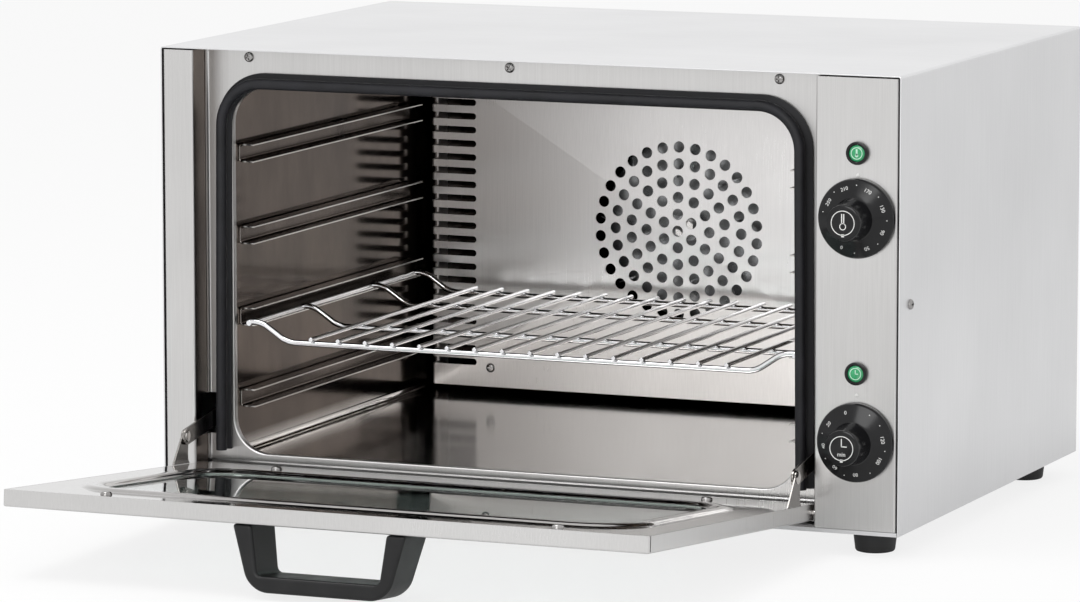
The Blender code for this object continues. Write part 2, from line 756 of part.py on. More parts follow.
def make_rack(slide):
    middle = rail_height(RACK_LEVEL + 1)
    side_z = middle - HALF_SHARE * RAIL_HEIGHT + SHEET + GAP + RACK_ROD
    half = CAVITY_HALF - GAP - SHEET - RACK_SIDE_PLAY - RACK_ROD
    cross_z = side_z + HALF_SHARE * RACK_ROD
    deck_z = cross_z - RACK_DROP
    first = RACK_FRONT
    last = BAFFLE_Y - BAFFLE_BULGE - RACK_BACK_ROOM - RECESS_DEPTH
    rod_places = [first + share * (last - first) for share in RACK_ROD_SHARES]
    flat = half - RACK_SHELF
    bend = flat - RACK_SLOPE
    ease = RACK_BEND_SHARE
    outline = [(half, 0)]
    outline.append((flat + ease * RACK_SLOPE, 0))
    outline.append((flat - ease * RACK_SLOPE, -ease * RACK_DROP))
    outline.append((bend + ease * RACK_SLOPE, -RACK_DROP + ease * RACK_DROP))
    outline.append((bend - ease * RACK_SLOPE, -RACK_DROP))
    mirrored = [(-x, z) for x, z in reversed(outline)]
    pieces = []
    for number, y in enumerate(rod_places):
        points = [(x, RECESS_DEPTH + y, cross_z + z) for x, z in outline + mirrored]
        pieces.append(rod(f"rack_cross_{number}", points, RACK_ROD, None, slide))
    for name, side in SIDES:
        ends = (first - RACK_ROD, last + RACK_ROD)
        points = [(side * half, RECESS_DEPTH + y, side_z) for y in ends]
        pieces.append(rod(f"rack_side_{name}", points, RACK_ROD, None, slide))
    bar_z = deck_z + RACK_ROD + RACK_BAR - RACK_WELD
    bar_pitch = 2 * (bend - RACK_BAR_MARGIN) / (RACK_BAR_COUNT - 1)
    for number in range(RACK_BAR_COUNT):
        x = (number - HALF_SHARE * (RACK_BAR_COUNT - 1)) * bar_pitch
        ends = (first - RACK_BAR_TIP, last + RACK_BAR_TIP)
        points = [(x, RECESS_DEPTH + y, bar_z) for y in ends]
        pieces.append(rod(f"rack_bar_{number}", points, RACK_BAR, None, slide))
    rack = pieces[0]
    cutters.objects.unlink(rack)
    parts.objects.link(rack)
    rack.name = "wire_rack"
    rack.data.materials.append(chrome)
    rack.hide_render = False
    rack.display_type = "TEXTURED"
    for other in pieces[1:]:
        boolean(rack, other, "UNION")


def hole_places():
    yield 0, 0
    for ring in range(1, HOLE_RINGS + 1):
        count = HOLES_PER_RING * ring
        for number in range(count):
            turn = 2 * math.pi * number / count
            yield ring * RING_PITCH * math.sin(turn), ring * RING_PITCH * math.cos(turn)


def make_baffle():
    """Cross-broken sheet: four shallow facets that rise to the fan, with folded sides."""
    left, right = RECESS_X - BAFFLE_HALF, RECESS_X + BAFFLE_HALF
    face = BAFFLE_Y + HALF_SHARE * SHEET
    rear = CAVITY_BACK - GAP
    bm = bmesh.new()
    add_box(bm, (left, face, BAFFLE_LOW), (right, rear, BAFFLE_HIGH))
    back = max(bm.faces, key=lambda item: item.calc_center_median().y)
    front = min(bm.faces, key=lambda item: item.calc_center_median().y)
    apex = bmesh.ops.poke(bm, faces=[front])["verts"]
    ends = [
        item for item in bm.faces if abs(item.normal.z) > HALF_SHARE and item is not back
    ]
    for vert in apex:
        vert.co = (RECESS_X, face - BAFFLE_BULGE, FAN_HEIGHT)
    bmesh.ops.delete(bm, geom=[back, *ends], context="FACES")
    baffle = place("fan_baffle", mesh_from("fan_baffle", bm), brushed, datum)
    wall = baffle.modifiers.new("sheet", "SOLIDIFY")
    wall.thickness = SHEET
    wall.offset = 0
    wall.use_even_offset = True

    def openings(bm):
        near, far = BAFFLE_Y - BAFFLE_BULGE - OVERRUN, BAFFLE_Y + SHEET + OVERRUN
        for x, z in hole_places():
            start = (RECESS_X + x, near, FAN_HEIGHT + z)
            end = (RECESS_X + x, far, FAN_HEIGHT + z)
            add_cylinder(bm, start, end, HOLE_RADIUS, HOLE_SIDES)

    def slots(bm):
        near, far = BAFFLE_Y - OVERRUN, BAFFLE_Y + SLOT_WRAP
        for number in range(SLOT_COUNT):
            z = SLOT_FIRST + number * SLOT_PITCH
            for _, side in SIDES:
                edge = RECESS_X + side * (BAFFLE_HALF + OVERRUN)
                end = RECESS_X + side * (BAFFLE_HALF - SLOT_REACH + HALF_SHARE * SLOT_HEIGHT)
                outline = slot_outline(edge, end, z, side)
                add_prism(bm, outline, near, far)

    cut_with(baffle, "fan_baffle_holes", openings)
    cut_with(baffle, "fan_baffle_slots", slots)


def slot_outline(edge, end, z, side):
    """A slot whose inner end is a half circle."""
    half = HALF_SHARE * SLOT_HEIGHT
    points = [(edge, z - half)]
    for step in range(SLOT_END_SIDES // 2 + 1):
        turn = -math.pi / 2 + 2 * math.pi * step / SLOT_END_SIDES
        points.append((end - side * half * math.cos(turn), z + half * math.sin(turn)))
    points.append((edge, z + half))
    return points


def add_prism(bm, outline, near, far):
    """A closed outline in XZ, drawn out along Y."""
    ring = [bm.verts.new((x, near, z)) for x, z in outline]
    face = bm.faces.new(ring)
    grown = bmesh.ops.extrude_face_region(bm, geom=[face], use_keep_orig=True)["geom"]
    ends = [item for item in grown if isinstance(item, bmesh.types.BMVert)]
    bmesh.ops.translate(bm, vec=(0, far - near, 0), verts=ends)


def make_fan(spin):
    """Impeller, nut, shaft and rotor turn together about Y through the empty."""
    back = CAVITY_BACK - IMPELLER_CLEARANCE
    disc_front = back - IMPELLER_DISC
    front = back - IMPELLER_DEPTH
    impeller = cylinder(
        "fan_impeller", (0, disc_front, 0), (0, back, 0), IMPELLER_RADIUS, 24, bright, spin
    )
    bm = bmesh.new()
    hub_front = back - HUB_DEPTH
    add_cylinder(bm, (0, hub_front, 0), (0, back - HALF_SHARE * IMPELLER_DISC, 0), HUB_RADIUS, 12)
    for number in range(BLADE_COUNT):
        middle = IMPELLER_RADIUS - HALF_SHARE * BLADE_LENGTH - SHEET
        half, thin = HALF_SHARE * BLADE_LENGTH, HALF_SHARE * IMPELLER_DISC
        lean = Matrix.Rotation(BLADE_ANGLE, 4, "Y")
        turn = Matrix.Rotation(2 * math.pi * number / BLADE_COUNT, 4, "Y")
        move = turn @ Matrix.Translation((middle, 0, 0)) @ lean
        add_box(bm, (-half, front, -thin), (half, disc_front + thin, thin), move)
    blades = place("fan_impeller_blades", mesh_from("fan_impeller_blades", bm), None, spin)
    boolean(impeller, blades, "UNION")

    def bore(bm):
        ends = (0, front - OVERRUN, 0), (0, back + OVERRUN, 0)
        add_cylinder(bm, *ends, SHAFT_RADIUS + GAP, 12)

    cut_with(impeller, "fan_impeller_bore", bore, spin)
    tip = hub_front - NUT_HEIGHT - GAP
    nut = cylinder(
        "impeller_nut", (0, tip, 0), (0, hub_front - GAP, 0), NUT_RADIUS, 6, bright, spin
    )

    def thread(bm):
        start, end = (0, tip + NUT_HEIGHT - SHAFT_END - GAP, 0), (0, hub_front + OVERRUN, 0)
        add_cylinder(bm, start, end, SHAFT_RADIUS + GAP, 12)

    cut_with(nut, "impeller_nut_thread", thread, spin)
    shaft_front = tip + NUT_HEIGHT - SHAFT_END
    stack = stack_front()
    shaft_back = stack + STACK_DEPTH + SHAFT_TAIL
    cylinder(
        "motor_shaft", (0, shaft_front, 0), (0, shaft_back, 0), SHAFT_RADIUS, 12, bright, spin
    )
    rotor = cylinder(
        "motor_rotor", (0, stack, 0), (0, stack + STACK_DEPTH, 0), ROTOR_RADIUS, 20, bright, spin
    )

    def rotor_bore(bm):
        ends = (0, stack - OVERRUN, 0), (0, stack + STACK_DEPTH + OVERRUN, 0)
        add_cylinder(bm, *ends, SHAFT_RADIUS + GAP, 12)

    cut_with(rotor, "motor_rotor_bore", rotor_bore, spin)


def stack_front():
    return CAVITY_BACK + SHEET + GAP + SHEET + BOSS_LENGTH + GAP


def make_motor():
    """Shaded-pole motor: a plate with bosses, laminations with a bore, and a wound limb."""
    x, z = RECESS_X, FAN_HEIGHT
    plate_front = CAVITY_BACK + SHEET + GAP
    half = HALF_SHARE * STACK_WIDTH
    top, bottom = z + STACK_ABOVE, z - STACK_BELOW
    plate = box(
        "motor_bracket",
        (x - half, plate_front, bottom),
        (x + half, plate_front + SHEET, top),
        brushed,
        datum,
    )
    bm = bmesh.new()
    inset = 2 * BOSS_RADIUS
    for boss_x in (x - half + inset, x + half - inset):
        for boss_z in (bottom + inset, top - inset):
            start = (boss_x, plate_front + HALF_SHARE * SHEET, boss_z)
            end = (boss_x, plate_front + SHEET + BOSS_LENGTH, boss_z)
            add_cylinder(bm, start, end, BOSS_RADIUS, 8)
    bosses = place("motor_bracket_bosses", mesh_from("motor_bracket_bosses", bm), None, datum)
    boolean(plate, bosses, "UNION")

    def shaft_hole(bm):
        ends = (x, plate_front - OVERRUN, z), (x, plate_front + OVERRUN, z)
        add_cylinder(bm, *ends, SHAFT_RADIUS + GAP, 12)

    cut_with(plate, "motor_bracket_hole", shaft_hole)
    front = stack_front()
    back = front + STACK_DEPTH
    stack = box("motor_stator", (x - half, front, bottom), (x + half, back, top), bright, datum)
    limb_top = bottom + STACK_LIMB
    window_half = HALF_SHARE * WINDOW_WIDTH

    def voids(bm):
        near, far = front - OVERRUN, back + OVERRUN
        add_cylinder(bm, (x, near, z), (x, far, z), ROTOR_RADIUS + 2 * GAP, 20)
        add_box(
            bm,
            (x - window_half, near, limb_top),
            (x + window_half, far, limb_top + WINDOW_HEIGHT),
        )

    cut_with(stack, "motor_stator_voids", voids)
    coil_half = window_half - GAP
    coil = box(
        "motor_coil",
        (x - coil_half, front - BOSS_LENGTH + GAP, bottom - COIL_WRAP),
        (x + coil_half, back + COIL_WRAP, limb_top + WINDOW_HEIGHT - GAP),
        copper,
        datum,
    )

    def limb(bm):
        low = (x - coil_half - OVERRUN, front - GAP, bottom - GAP)
        add_box(bm, low, (x + coil_half + OVERRUN, back + GAP, limb_top + GAP))

    cut_with(coil, "motor_coil_limb", limb)


def element_legs():
    for side in (-1, 1):
        turn = side * HALF_SHARE * ELEMENT_GAP
        yield (
            RECESS_X + ELEMENT_RADIUS * math.sin(turn),
            FAN_HEIGHT - ELEMENT_RADIUS * math.cos(turn),
        )


def make_element():
    """One tube ring round the impeller, its two ends led out through the back wall."""
    y = CAVITY_BACK - HALF_SHARE * BAFFLE_ROOM
    out = CAVITY_BACK + SHEET + ELEMENT_TAIL
    legs = list(element_legs())
    points = [(legs[0][0], out, legs[0][1])]
    sweep = 2 * math.pi - ELEMENT_GAP
    for step in range(ELEMENT_STEPS + 1):
        turn = -HALF_SHARE * ELEMENT_GAP - sweep * step / ELEMENT_STEPS
        points.append(
            (
                RECESS_X + ELEMENT_RADIUS * math.sin(turn),
                y,
                FAN_HEIGHT - ELEMENT_RADIUS * math.cos(turn),
            )
        )
    points.append((legs[1][0], out, legs[1][1]))
    smooth(rod("heating_element", points, ELEMENT_TUBE, bright, datum))


def make_rear():
    inner = HALF_SHARE * CASING_WIDTH - SHEET - GAP
    low, high = TRAY_FLANGE + GAP, COVER_UNDERSIDE - GAP
    y = CASING_DEPTH - HALF_SHARE * SHEET
    hole_w = MOTOR_COVER_WIDTH - 2 * MOTOR_HOLE_MARGIN
    hole_h = MOTOR_COVER_HEIGHT - 2 * MOTOR_HOLE_MARGIN
    cover_z = FAN_HEIGHT - COVER_DROP
    outlines = [rectangle(-inner, low, inner, high)]
    outlines.append(rounded_rectangle(hole_w, hole_h, CAVITY_BEND, RECESS_X, cover_z))
    outlines.append(circle(GLAND_NECK + GAP, 14, GLAND_X, GLAND_HEIGHT))
    for side in (-1, 1):
        for row in range(SIDE_VENT_ROWS):
            z = SIDE_VENT_HEIGHT - row * VENT_PITCH
            half = HALF_SHARE * SIDE_VENT_WIDTH
            tall = HALF_SHARE * VENT_HEIGHT
            x = side * (HALF_SHARE * CASING_WIDTH - SIDE_VENT_INSET)
            outlines.append(rectangle(x - half, z - tall, x + half, z + tall))
    flat_outline("rear_panel", outlines, SHEET, brushed, datum, (0, y, 0), STAND)
    make_motor_cover(cover_z)
    thin = GLAND_NECK
    profile = [
        (GLAND_BORE, GLAND_REACH),
        (HALF_SHARE * (GLAND_RADIUS + GLAND_BORE), GLAND_REACH),
        (GLAND_RADIUS, GLAND_REACH * HALF_SHARE),
        (GLAND_RADIUS, GAP),
        (thin, GAP),
        (thin, -SHEET - 2 * GAP),
        (GLAND_RADIUS, -SHEET - 2 * GAP),
        (GLAND_RADIUS, -GLAND_NECK),
        (GLAND_BORE, -GLAND_NECK),
        (GLAND_BORE, GLAND_REACH),
    ]
    turned(
        "cable_gland",
        profile,
        16,
        plastic,
        datum,
        (GLAND_X, CASING_DEPTH, GLAND_HEIGHT),
        (-math.radians(90), 0, 0),
    )


def make_motor_cover(cover_z):
    half_w, half_h = HALF_SHARE * MOTOR_COVER_WIDTH, HALF_SHARE * MOTOR_COVER_HEIGHT
    front, back = CASING_DEPTH + GAP, CASING_DEPTH + MOTOR_COVER_DEPTH
    bm = bmesh.new()
    low = (RECESS_X - half_w, front, cover_z - half_h)
    add_box(bm, low, (RECESS_X + half_w, back, cover_z + half_h))
    mouth = min(bm.faces, key=lambda face: face.calc_center_median().y)
    bmesh.ops.delete(bm, geom=[mouth], context="FACES")
    cover = place("motor_cover", mesh_from("motor_cover", bm), brushed, datum)
    wall = cover.modifiers.new("sheet", "SOLIDIFY")
    wall.thickness = SHEET
    wall.offset = -1
    wall.use_even_offset = True

    def slots(bm):
        for row in range(VENT_ROWS):
            z = cover_z + (row - HALF_SHARE * (VENT_ROWS - 1)) * VENT_PITCH
            half = HALF_SHARE * VENT_WIDTH
            tall = HALF_SHARE * VENT_HEIGHT
            low = (RECESS_X - half, back - SHEET - OVERRUN, z - tall)
            add_box(bm, low, (RECESS_X + half, back + OVERRUN, z + tall))

    cut_with(cover, "motor_cover_slots", slots)
    rim = flat_outline(
        "motor_cover_flange",
        [
            rectangle(
                RECESS_X - half_w - COVER_FLANGE,
                cover_z - half_h,
                RECESS_X + half_w + COVER_FLANGE,
                cover_z + half_h,
            ),
            rectangle(
                RECESS_X - half_w + SHEET,
                cover_z - half_h + SHEET,
                RECESS_X + half_w - SHEET,
                cover_z + half_h - SHEET,
            ),
        ],
        SHEET,
        None,
        datum,
        (0, front + HALF_SHARE * SHEET, 0),
        STAND,
    )
    boolean(cover, rim, "UNION")


def door_outline_window(margin=0.0):
    width = DOOR_WIDTH - 2 * WINDOW_SIDE + 2 * margin
    low = WINDOW_LOW - HINGE_BELOW - margin
    high = DOOR_REACH - WINDOW_TOP + margin
    radius = WINDOW_RADIUS + margin
    return rounded_rectangle(width, high - low, radius, 0, HALF_SHARE * (low + high))


def make_door(hinge):
    """Door shut is modelled upright on its hinge line; the hinge empty holds it open."""
    half = HALF_SHARE * DOOR_WIDTH
    outer, inner = -HALF_SHARE * DOOR_THICKNESS, HALF_SHARE * DOOR_THICKNESS
    bm = bmesh.new()
    add_box(bm, (-half, outer, -HINGE_BELOW), (half, inner, DOOR_REACH))
    open_side = max(bm.faces, key=lambda face: face.calc_center_median().y)
    bmesh.ops.delete(bm, geom=[open_side], context="FACES")
    bends = [edge for edge in bm.edges if not edge.is_boundary]
    bmesh.ops.bevel(bm, geom=bends, offset=DOOR_BEND, segments=2, affect="EDGES", profile=HALF_SHARE)
    shell = place("door_shell", mesh_from("door_shell", bm), brushed, hinge)
    wall = shell.modifiers.new("sheet", "SOLIDIFY")
    wall.thickness = SHEET
    wall.offset = -1
    wall.use_even_offset = True
    window = flat_outline(
        "door_shell_window",
        [door_outline_window()],
        2 * OVERRUN,
        None,
        hinge,
        (0, outer, 0),
        STAND,
    )
    boolean(shell, window)

    def pin_holes(bm):
        for _, side in SIDES:
            ends = (side * (half + OVERRUN), 0, 0), (side * (half - OVERRUN), 0, 0)
            add_cylinder(bm, *ends, PIN_RADIUS + GAP, 10)

    cut_with(shell, "door_shell_pin_holes", pin_holes, hinge)
    room = SHEET + GAP
    plate = [
        rectangle(-half + room, -HINGE_BELOW + room, half - room, DOOR_REACH - room),
        door_outline_window(),
    ]
    panel = flat_outline(
        "door_inner_panel", plate, SHEET, bright, hinge, (0, inner - HALF_SHARE * SHEET, 0), STAND
    )
    outside, crest = BEAD_WIDTH, HALF_SHARE * (BEAD_WIDTH - BEAD_CREST)
    section = [(0, 0), (outside, 0), (outside - crest, BEAD_HEIGHT), (crest, BEAD_HEIGHT)]
    shift = HALF_SHARE * SHEET
    section = [(-x, y - (shift if y == 0 else 0)) for x, y in section]
    bead = swept(
        "door_inner_panel_bead",
        list(reversed(door_outline_window())),
        [(x, -y) for x, y in section],
        True,
        None,
        hinge,
        (0, inner, 0),
        STAND,
    )
    boolean(panel, bead, "UNION")
    pane = HALF_SHARE * GLASS_THICKNESS
    for name, y in (
        ("inner_glass", inner - SHEET - GAP - pane),
        ("outer_glass", outer + SHEET + GAP + pane),
    ):
        flat_outline(
            name,
            [door_outline_window(GLASS_MARGIN)],
            GLASS_THICKNESS,
            glass,
            hinge,
            (0, y, 0),
            STAND,
        )
    make_handle(hinge, outer)
    make_stay_brackets(hinge, inner)


def handle_stations():
    """Outer and inner points of the U, from one foot round the grip to the other."""
    base, grip_half = HALF_SHARE * HANDLE_BASE_WIDTH, HALF_SHARE * HANDLE_GRIP_WIDTH
    middle = Vector((grip_half - HANDLE_CORNER, HANDLE_CORNER - HANDLE_HEIGHT))
    inside = HALF_SHARE * HANDLE_INSIDE
    inner_middle = Vector(
        (inside - HANDLE_INSIDE_CORNER, HANDLE_GRIP + HANDLE_INSIDE_CORNER - HANDLE_HEIGHT)
    )
    right = []
    for step in range(HANDLE_STEPS + 1):
        turn = -math.pi / 2 * (1 - step / HANDLE_STEPS)
        ray = Vector((math.cos(turn), math.sin(turn)))
        right.append((middle + ray * HANDLE_CORNER, inner_middle + ray * HANDLE_INSIDE_CORNER))
    right.append((Vector((base, 0)), Vector((base - HANDLE_LEG, 0))))
    left = [tuple(Vector((-point.x, point.y)) for point in pair) for pair in reversed(right)]
    return left + right


def make_handle(hinge, outer):
    """A band that is drawn round the U and grows a little shallower towards the grip."""
    bm = bmesh.new()
    rings = []
    for outside, inside in handle_stations():
        across = (outside - inside).normalized()
        middle = (outside + inside) * HALF_SHARE
        share = -middle.y / HANDLE_HEIGHT
        depth = HANDLE_DEPTH + (HANDLE_GRIP_DEPTH - HANDLE_DEPTH) * share
        width = (outside - inside).length
        section = rounded_rectangle(width, depth, HANDLE_ROUND, steps=2)
        rings.append(
            [bm.verts.new((middle.x + across.x * x, middle.y + across.y * x, z)) for x, z in section]
        )
    for ring, following in zip(rings, rings[1:]):
        for i, vert in enumerate(ring):
            bm.faces.new((ring[i - 1], vert, following[i], following[i - 1]))
    bm.faces.new(rings[0])
    bm.faces.new(rings[-1])
    top = DOOR_REACH - HANDLE_TOP_ROOM - HALF_SHARE * HANDLE_DEPTH
    data = mesh_from("door_handle", bm)
    smooth(place("door_handle", data, grip, hinge, (HANDLE_X, outer - GAP, top)))


def bracket_outline():
    """Ear of the stay bracket: x runs along the door and y up from its inner face."""
    foot = RIVET_ALONG + BRACKET_LEAN
    points = [(foot - BRACKET_BASE, GAP), (foot, GAP)]
    for step in range(CORNER_STEPS + 1):
        turn = math.pi * step / CORNER_STEPS
        points.append(
            (
                RIVET_ALONG + BRACKET_HEAD * math.cos(turn),
                RIVET_ABOVE + BRACKET_HEAD * math.sin(turn),
            )
        )
    return points


def make_stay_brackets(hinge, inner):
    """Ears that stand on the inner face, with the rivets that carry the arms."""
    for name, side in SIDES:
        ear_x = side * (HALF_SHARE * DOOR_WIDTH - BRACKET_INSET - HALF_SHARE * BRACKET_SHEET)
        arm_x = ear_x - side * (HALF_SHARE * BRACKET_SHEET + GAP + HALF_SHARE * ARM_SHEET)
        ear = flat_outline(
            f"stay_bracket_{name}",
            [[(y, z) for z, y in bracket_outline()]],
            BRACKET_SHEET,
            bright,
            hinge,
            (ear_x, inner, 0),
            (math.radians(90), 0, math.radians(90)),
        )

        def hole(bm):
            y, z = inner + RIVET_ABOVE, RIVET_ALONG
            ends = (ear_x - OVERRUN, y, z), (ear_x + OVERRUN, y, z)
            add_cylinder(bm, *ends, RIVET_RADIUS + GAP, 10)

        cut_with(ear, f"stay_bracket_{name}_hole", hole, hinge)
        outside = ear_x + side * (HALF_SHARE * BRACKET_SHEET + GAP)
        inside = arm_x - side * (HALF_SHARE * ARM_SHEET + GAP)
        profile = [
            (0, RIVET_HEAD),
            (RIVET_HEAD_RADIUS * HALF_SHARE, RIVET_HEAD),
            (RIVET_HEAD_RADIUS, 0),
            (RIVET_RADIUS, 0),
            (RIVET_RADIUS, -abs(outside - inside)),
            (RIVET_HEAD_RADIUS, -abs(outside - inside)),
            (RIVET_HEAD_RADIUS * HALF_SHARE, -abs(outside - inside) - RIVET_HEAD),
            (0, -abs(outside - inside) - RIVET_HEAD),
        ]
        turned(
            f"stay_rivet_{name}",
            profile,
            12,
            bright,
            hinge,
            (outside, inner + RIVET_ABOVE, RIVET_ALONG),
            (0, side * math.radians(90), 0),
        )


def rivet_place():
    """Rivet in the casing's frame, (y, z), with the door open."""
    along, above = RIVET_ALONG, DOOR_INNER + RIVET_ABOVE
    cos, sin = math.cos(DOOR_OPEN), math.sin(DOOR_OPEN)
    return HINGE_Y + above * cos - along * sin, HINGE_Z + above * sin + along * cos


def arm_place(side):
    ear_x = side * (HALF_SHARE * DOOR_WIDTH - BRACKET_INSET - HALF_SHARE * BRACKET_SHEET)
    return RECESS_X + ear_x - side * (HALF_SHARE * BRACKET_SHEET + GAP + HALF_SHARE * ARM_SHEET)


def make_stays():
    """Flat arms on the rivets. Each rests on a stud, and its hook stops the open door there."""
    y, z = rivet_place()
    half = HALF_SHARE * ARM_HEIGHT
    straight = ARM_LENGTH - 2 * half
    tail, hook = straight + half, straight + half - HOOK_LENGTH
    outline = [(hook, -half), (hook, -half - HOOK_DROP), (tail, -half - HOOK_DROP), (tail, 0)]
    for middle, first, sweep in ((straight, 0, 1), (0, 1, 2)):
        for step in range(1, CORNER_STEPS + 1):
            turn = math.pi / 2 * (first + sweep * step / CORNER_STEPS)
            outline.append((middle + half * math.cos(turn), half * math.sin(turn)))
    for name, side in SIDES:
        x = arm_place(side)
        pivot = empty(f"stay_pivot_{name}", (x, y, z), datum, ARM_PITCH)
        arm = flat_outline(
            f"stay_arm_{name}",
            [outline],
            ARM_SHEET,
            bright,
            pivot,
            rotation=(math.radians(90), 0, math.radians(90)),
        )

        def hole(bm):
            ends = (-OVERRUN, 0, 0), (OVERRUN, 0, 0)
            add_cylinder(bm, *ends, RIVET_RADIUS + GAP, 10)

        cut_with(arm, f"stay_arm_{name}_hole", hole, pivot)
        along, below = hook - GAP - STUD_RADIUS, half + GAP + STUD_RADIUS
        cos, sin = math.cos(ARM_PITCH), math.sin(ARM_PITCH)
        make_guide(name, side, x, y + along * cos + below * sin, z + along * sin - below * cos)


def make_guide(name, side, arm_x, stud_y, stud_z):
    """Side plate behind the frame, with a foot against the liner and the stud of the arm."""
    wall = RECESS_X + side * (CAVITY_HALF + SHEET)
    outer_x = wall + side * GUIDE_PLATE_X
    front = FRAME_BACK + GAP
    ends = sorted((outer_x, outer_x - side * SHEET))
    plate = box(
        f"stay_guide_{name}",
        (ends[0], front, GUIDE_PLATE_LOW),
        (ends[1], front + GUIDE_PLATE_LENGTH, GUIDE_PLATE_HIGH),
        brushed,
        datum,
    )
    bm = bmesh.new()
    root = outer_x - side * HALF_SHARE * SHEET
    tip = arm_x + side * ARM_SHEET
    add_cylinder(bm, (root, stud_y, stud_z), (tip, stud_y, stud_z), STUD_RADIUS, 12)
    feet = sorted((wall + side * GAP, root))
    low, high = GUIDE_PLATE_LOW + SHEET, GUIDE_PLATE_HIGH - SHEET
    for foot in (front + SHEET, front + GUIDE_PLATE_LENGTH - 2 * SHEET):
        add_box(bm, (feet[0], foot, low), (feet[1], foot + SHEET, high))
    extra = place(f"stay_guide_{name}_stud", mesh_from(f"stay_guide_{name}_stud", bm), None, datum)
    boolean(plate, extra, "UNION")


def make_hinge_pins():
    for name, side in SIDES:
        wall = RECESS_X + side * HALF_SHARE * (RECESS_RIGHT - RECESS_LEFT)
        start = (wall + side * (SHEET + PIN_END), HINGE_Y, HINGE_Z)
        end = (wall - side * (DOOR_SIDE_ROOM + PIN_REACH), HINGE_Y, HINGE_Z)
        cylinder(f"hinge_pin_{name}", start, end, PIN_RADIUS, 12, bright, datum)


def make_knob(name, spin, body_name):
    """Skirted knob with a tapered boss, its spindle, and the switch body behind it."""
    edge = KNOB_EDGE
    profile = [
        (0, KNOB_HEIGHT),
        (KNOB_BOSS - edge, KNOB_HEIGHT),
        (KNOB_BOSS, KNOB_HEIGHT - edge),
        (KNOB_BOSS_FOOT, KNOB_SHOULDER + 2 * edge),
        (KNOB_BOSS_FOOT + edge, KNOB_SHOULDER),
        (KNOB_RADIUS - edge, KNOB_RIM + edge),
        (KNOB_RADIUS, KNOB_RIM),
        (KNOB_RADIUS, 0),
        (SPINDLE_RADIUS + GAP, 0),
        (SPINDLE_RADIUS + GAP, KNOB_BORE_DEPTH),
        (0, KNOB_BORE_DEPTH),
    ]
    turned(f"{name}_knob", profile, KNOB_STEPS, plastic, spin, (0, 0, 0), STAND)
    inside = SHEET + GAP
    start = (0, inside + KNOB_LIFT + GAP, 0)
    end = (0, -KNOB_BORE_DEPTH + GAP, 0)
    cylinder(f"{name}_spindle", start, end, SPINDLE_RADIUS, 12, bright, spin)
    x, z = spin.location.x, spin.location.z
    half = HALF_SHARE * CONTROL_SIZE
    box(
        body_name,
        (x - half, SHEET + 2 * GAP, z - half),
        (x + half, SHEET + 2 * GAP + CONTROL_DEPTH, z + half),
        moulded,
        datum,
    )
    socket_depth = SPINDLE_RADIUS

    def socket(bm):
        start = (x, -OVERRUN, z)
        add_cylinder(bm, start, (x, inside + socket_depth, z), SPINDLE_RADIUS + GAP, 12)

    cut_with(bpy.data.objects[body_name], f"{body_name}_socket", socket)


def make_lamp(name, height):
    profile = [
        (0, LAMP_LIFT - HALF_SHARE * KNOB_EDGE),
        (LAMP_LENS, LAMP_LIFT - HALF_SHARE * KNOB_EDGE),
        (LAMP_LENS, LAMP_LIFT),
        (LAMP_RADIUS - HALF_SHARE * KNOB_EDGE, LAMP_LIFT),
        (LAMP_RADIUS, LAMP_LIFT - HALF_SHARE * KNOB_EDGE),
        (LAMP_RADIUS, GAP),
        (LAMP_BODY, GAP),
        (LAMP_BODY, -LAMP_DEPTH),
        (0, -LAMP_DEPTH),
    ]
    turned(name, profile, 20, lens, datum, (PANEL_X, 0, height), STAND)


def make_probe():
    """Capillary from the thermostat body, in through the side wall, to its bulb."""
    wall = RECESS_X + CAVITY_HALF
    middle = wall - HALF_SHARE * BAFFLE_SIDE_ROOM
    y = CAVITY_BACK - PROBE_BACK_ROOM
    body_back = SHEET + 2 * GAP + CONTROL_DEPTH
    z = THERMOSTAT_HEIGHT
    share = PROBE_BULB / PROBE_WIRE
    points = [
        (PANEL_X, body_back + GAP, z),
        (PANEL_X, y, z),
        (wall + SHEET + OVERRUN, y, z),
        (middle + PROBE_BULB, y, z),
        (middle, y, z - PROBE_BULB),
        (middle, y, z - 2 * PROBE_BULB),
        (middle, y, z - 3 * PROBE_BULB),
        (middle, y, z - 3 * PROBE_BULB - PROBE_LENGTH),
    ]
    rod(
        "thermostat_probe",
        points,
        PROBE_WIRE,
        copper,
        datum,
        radii=(1, 1, 1, 1, 1, 1, share, share),
    )


def make_electrics():
    for name, height in (("thermostat", THERMOSTAT_HEIGHT), ("timer", TIMER_HEIGHT)):
        spin = empty(f"{name}_axis", (PANEL_X, -KNOB_LIFT, height), datum)
        make_knob(name, spin, f"{name}_body")
    make_lamp("heat_lamp", HEAT_LAMP_HEIGHT)
    make_lamp("timer_lamp", TIMER_LAMP_HEIGHT)
    make_probe()
    half = HALF_SHARE * TERMINAL_WIDTH
    back = CASING_DEPTH - SHEET - GAP
    low = GLAND_HEIGHT + GLAND_RADIUS + GAP
    box(
        "terminal_block",
        (GLAND_X - half, back - TERMINAL_DEPTH, low),
        (GLAND_X + half, back, low + TERMINAL_HEIGHT),
        moulded,
        datum,
    )


def make_blanket():
    """Mineral wool over the top and down both sides of the cavity."""
    half = CAVITY_HALF + SHEET + GAP + HALF_SHARE * BLANKET
    top = CAVITY_TOP + SHEET + GAP + HALF_SHARE * BLANKET
    path = [
        (RECESS_X - half, BLANKET_LOW),
        (RECESS_X - half, top),
        (RECESS_X + half, top),
        (RECESS_X + half, BLANKET_LOW),
    ]
    start, end = FRAME_BACK + BLANKET_FRONT, CAVITY_BACK - BLANKET_BACK
    folded_sheet("insulation_blanket", path, -end, -start, BLANKET, wool, datum, 0, STAND)


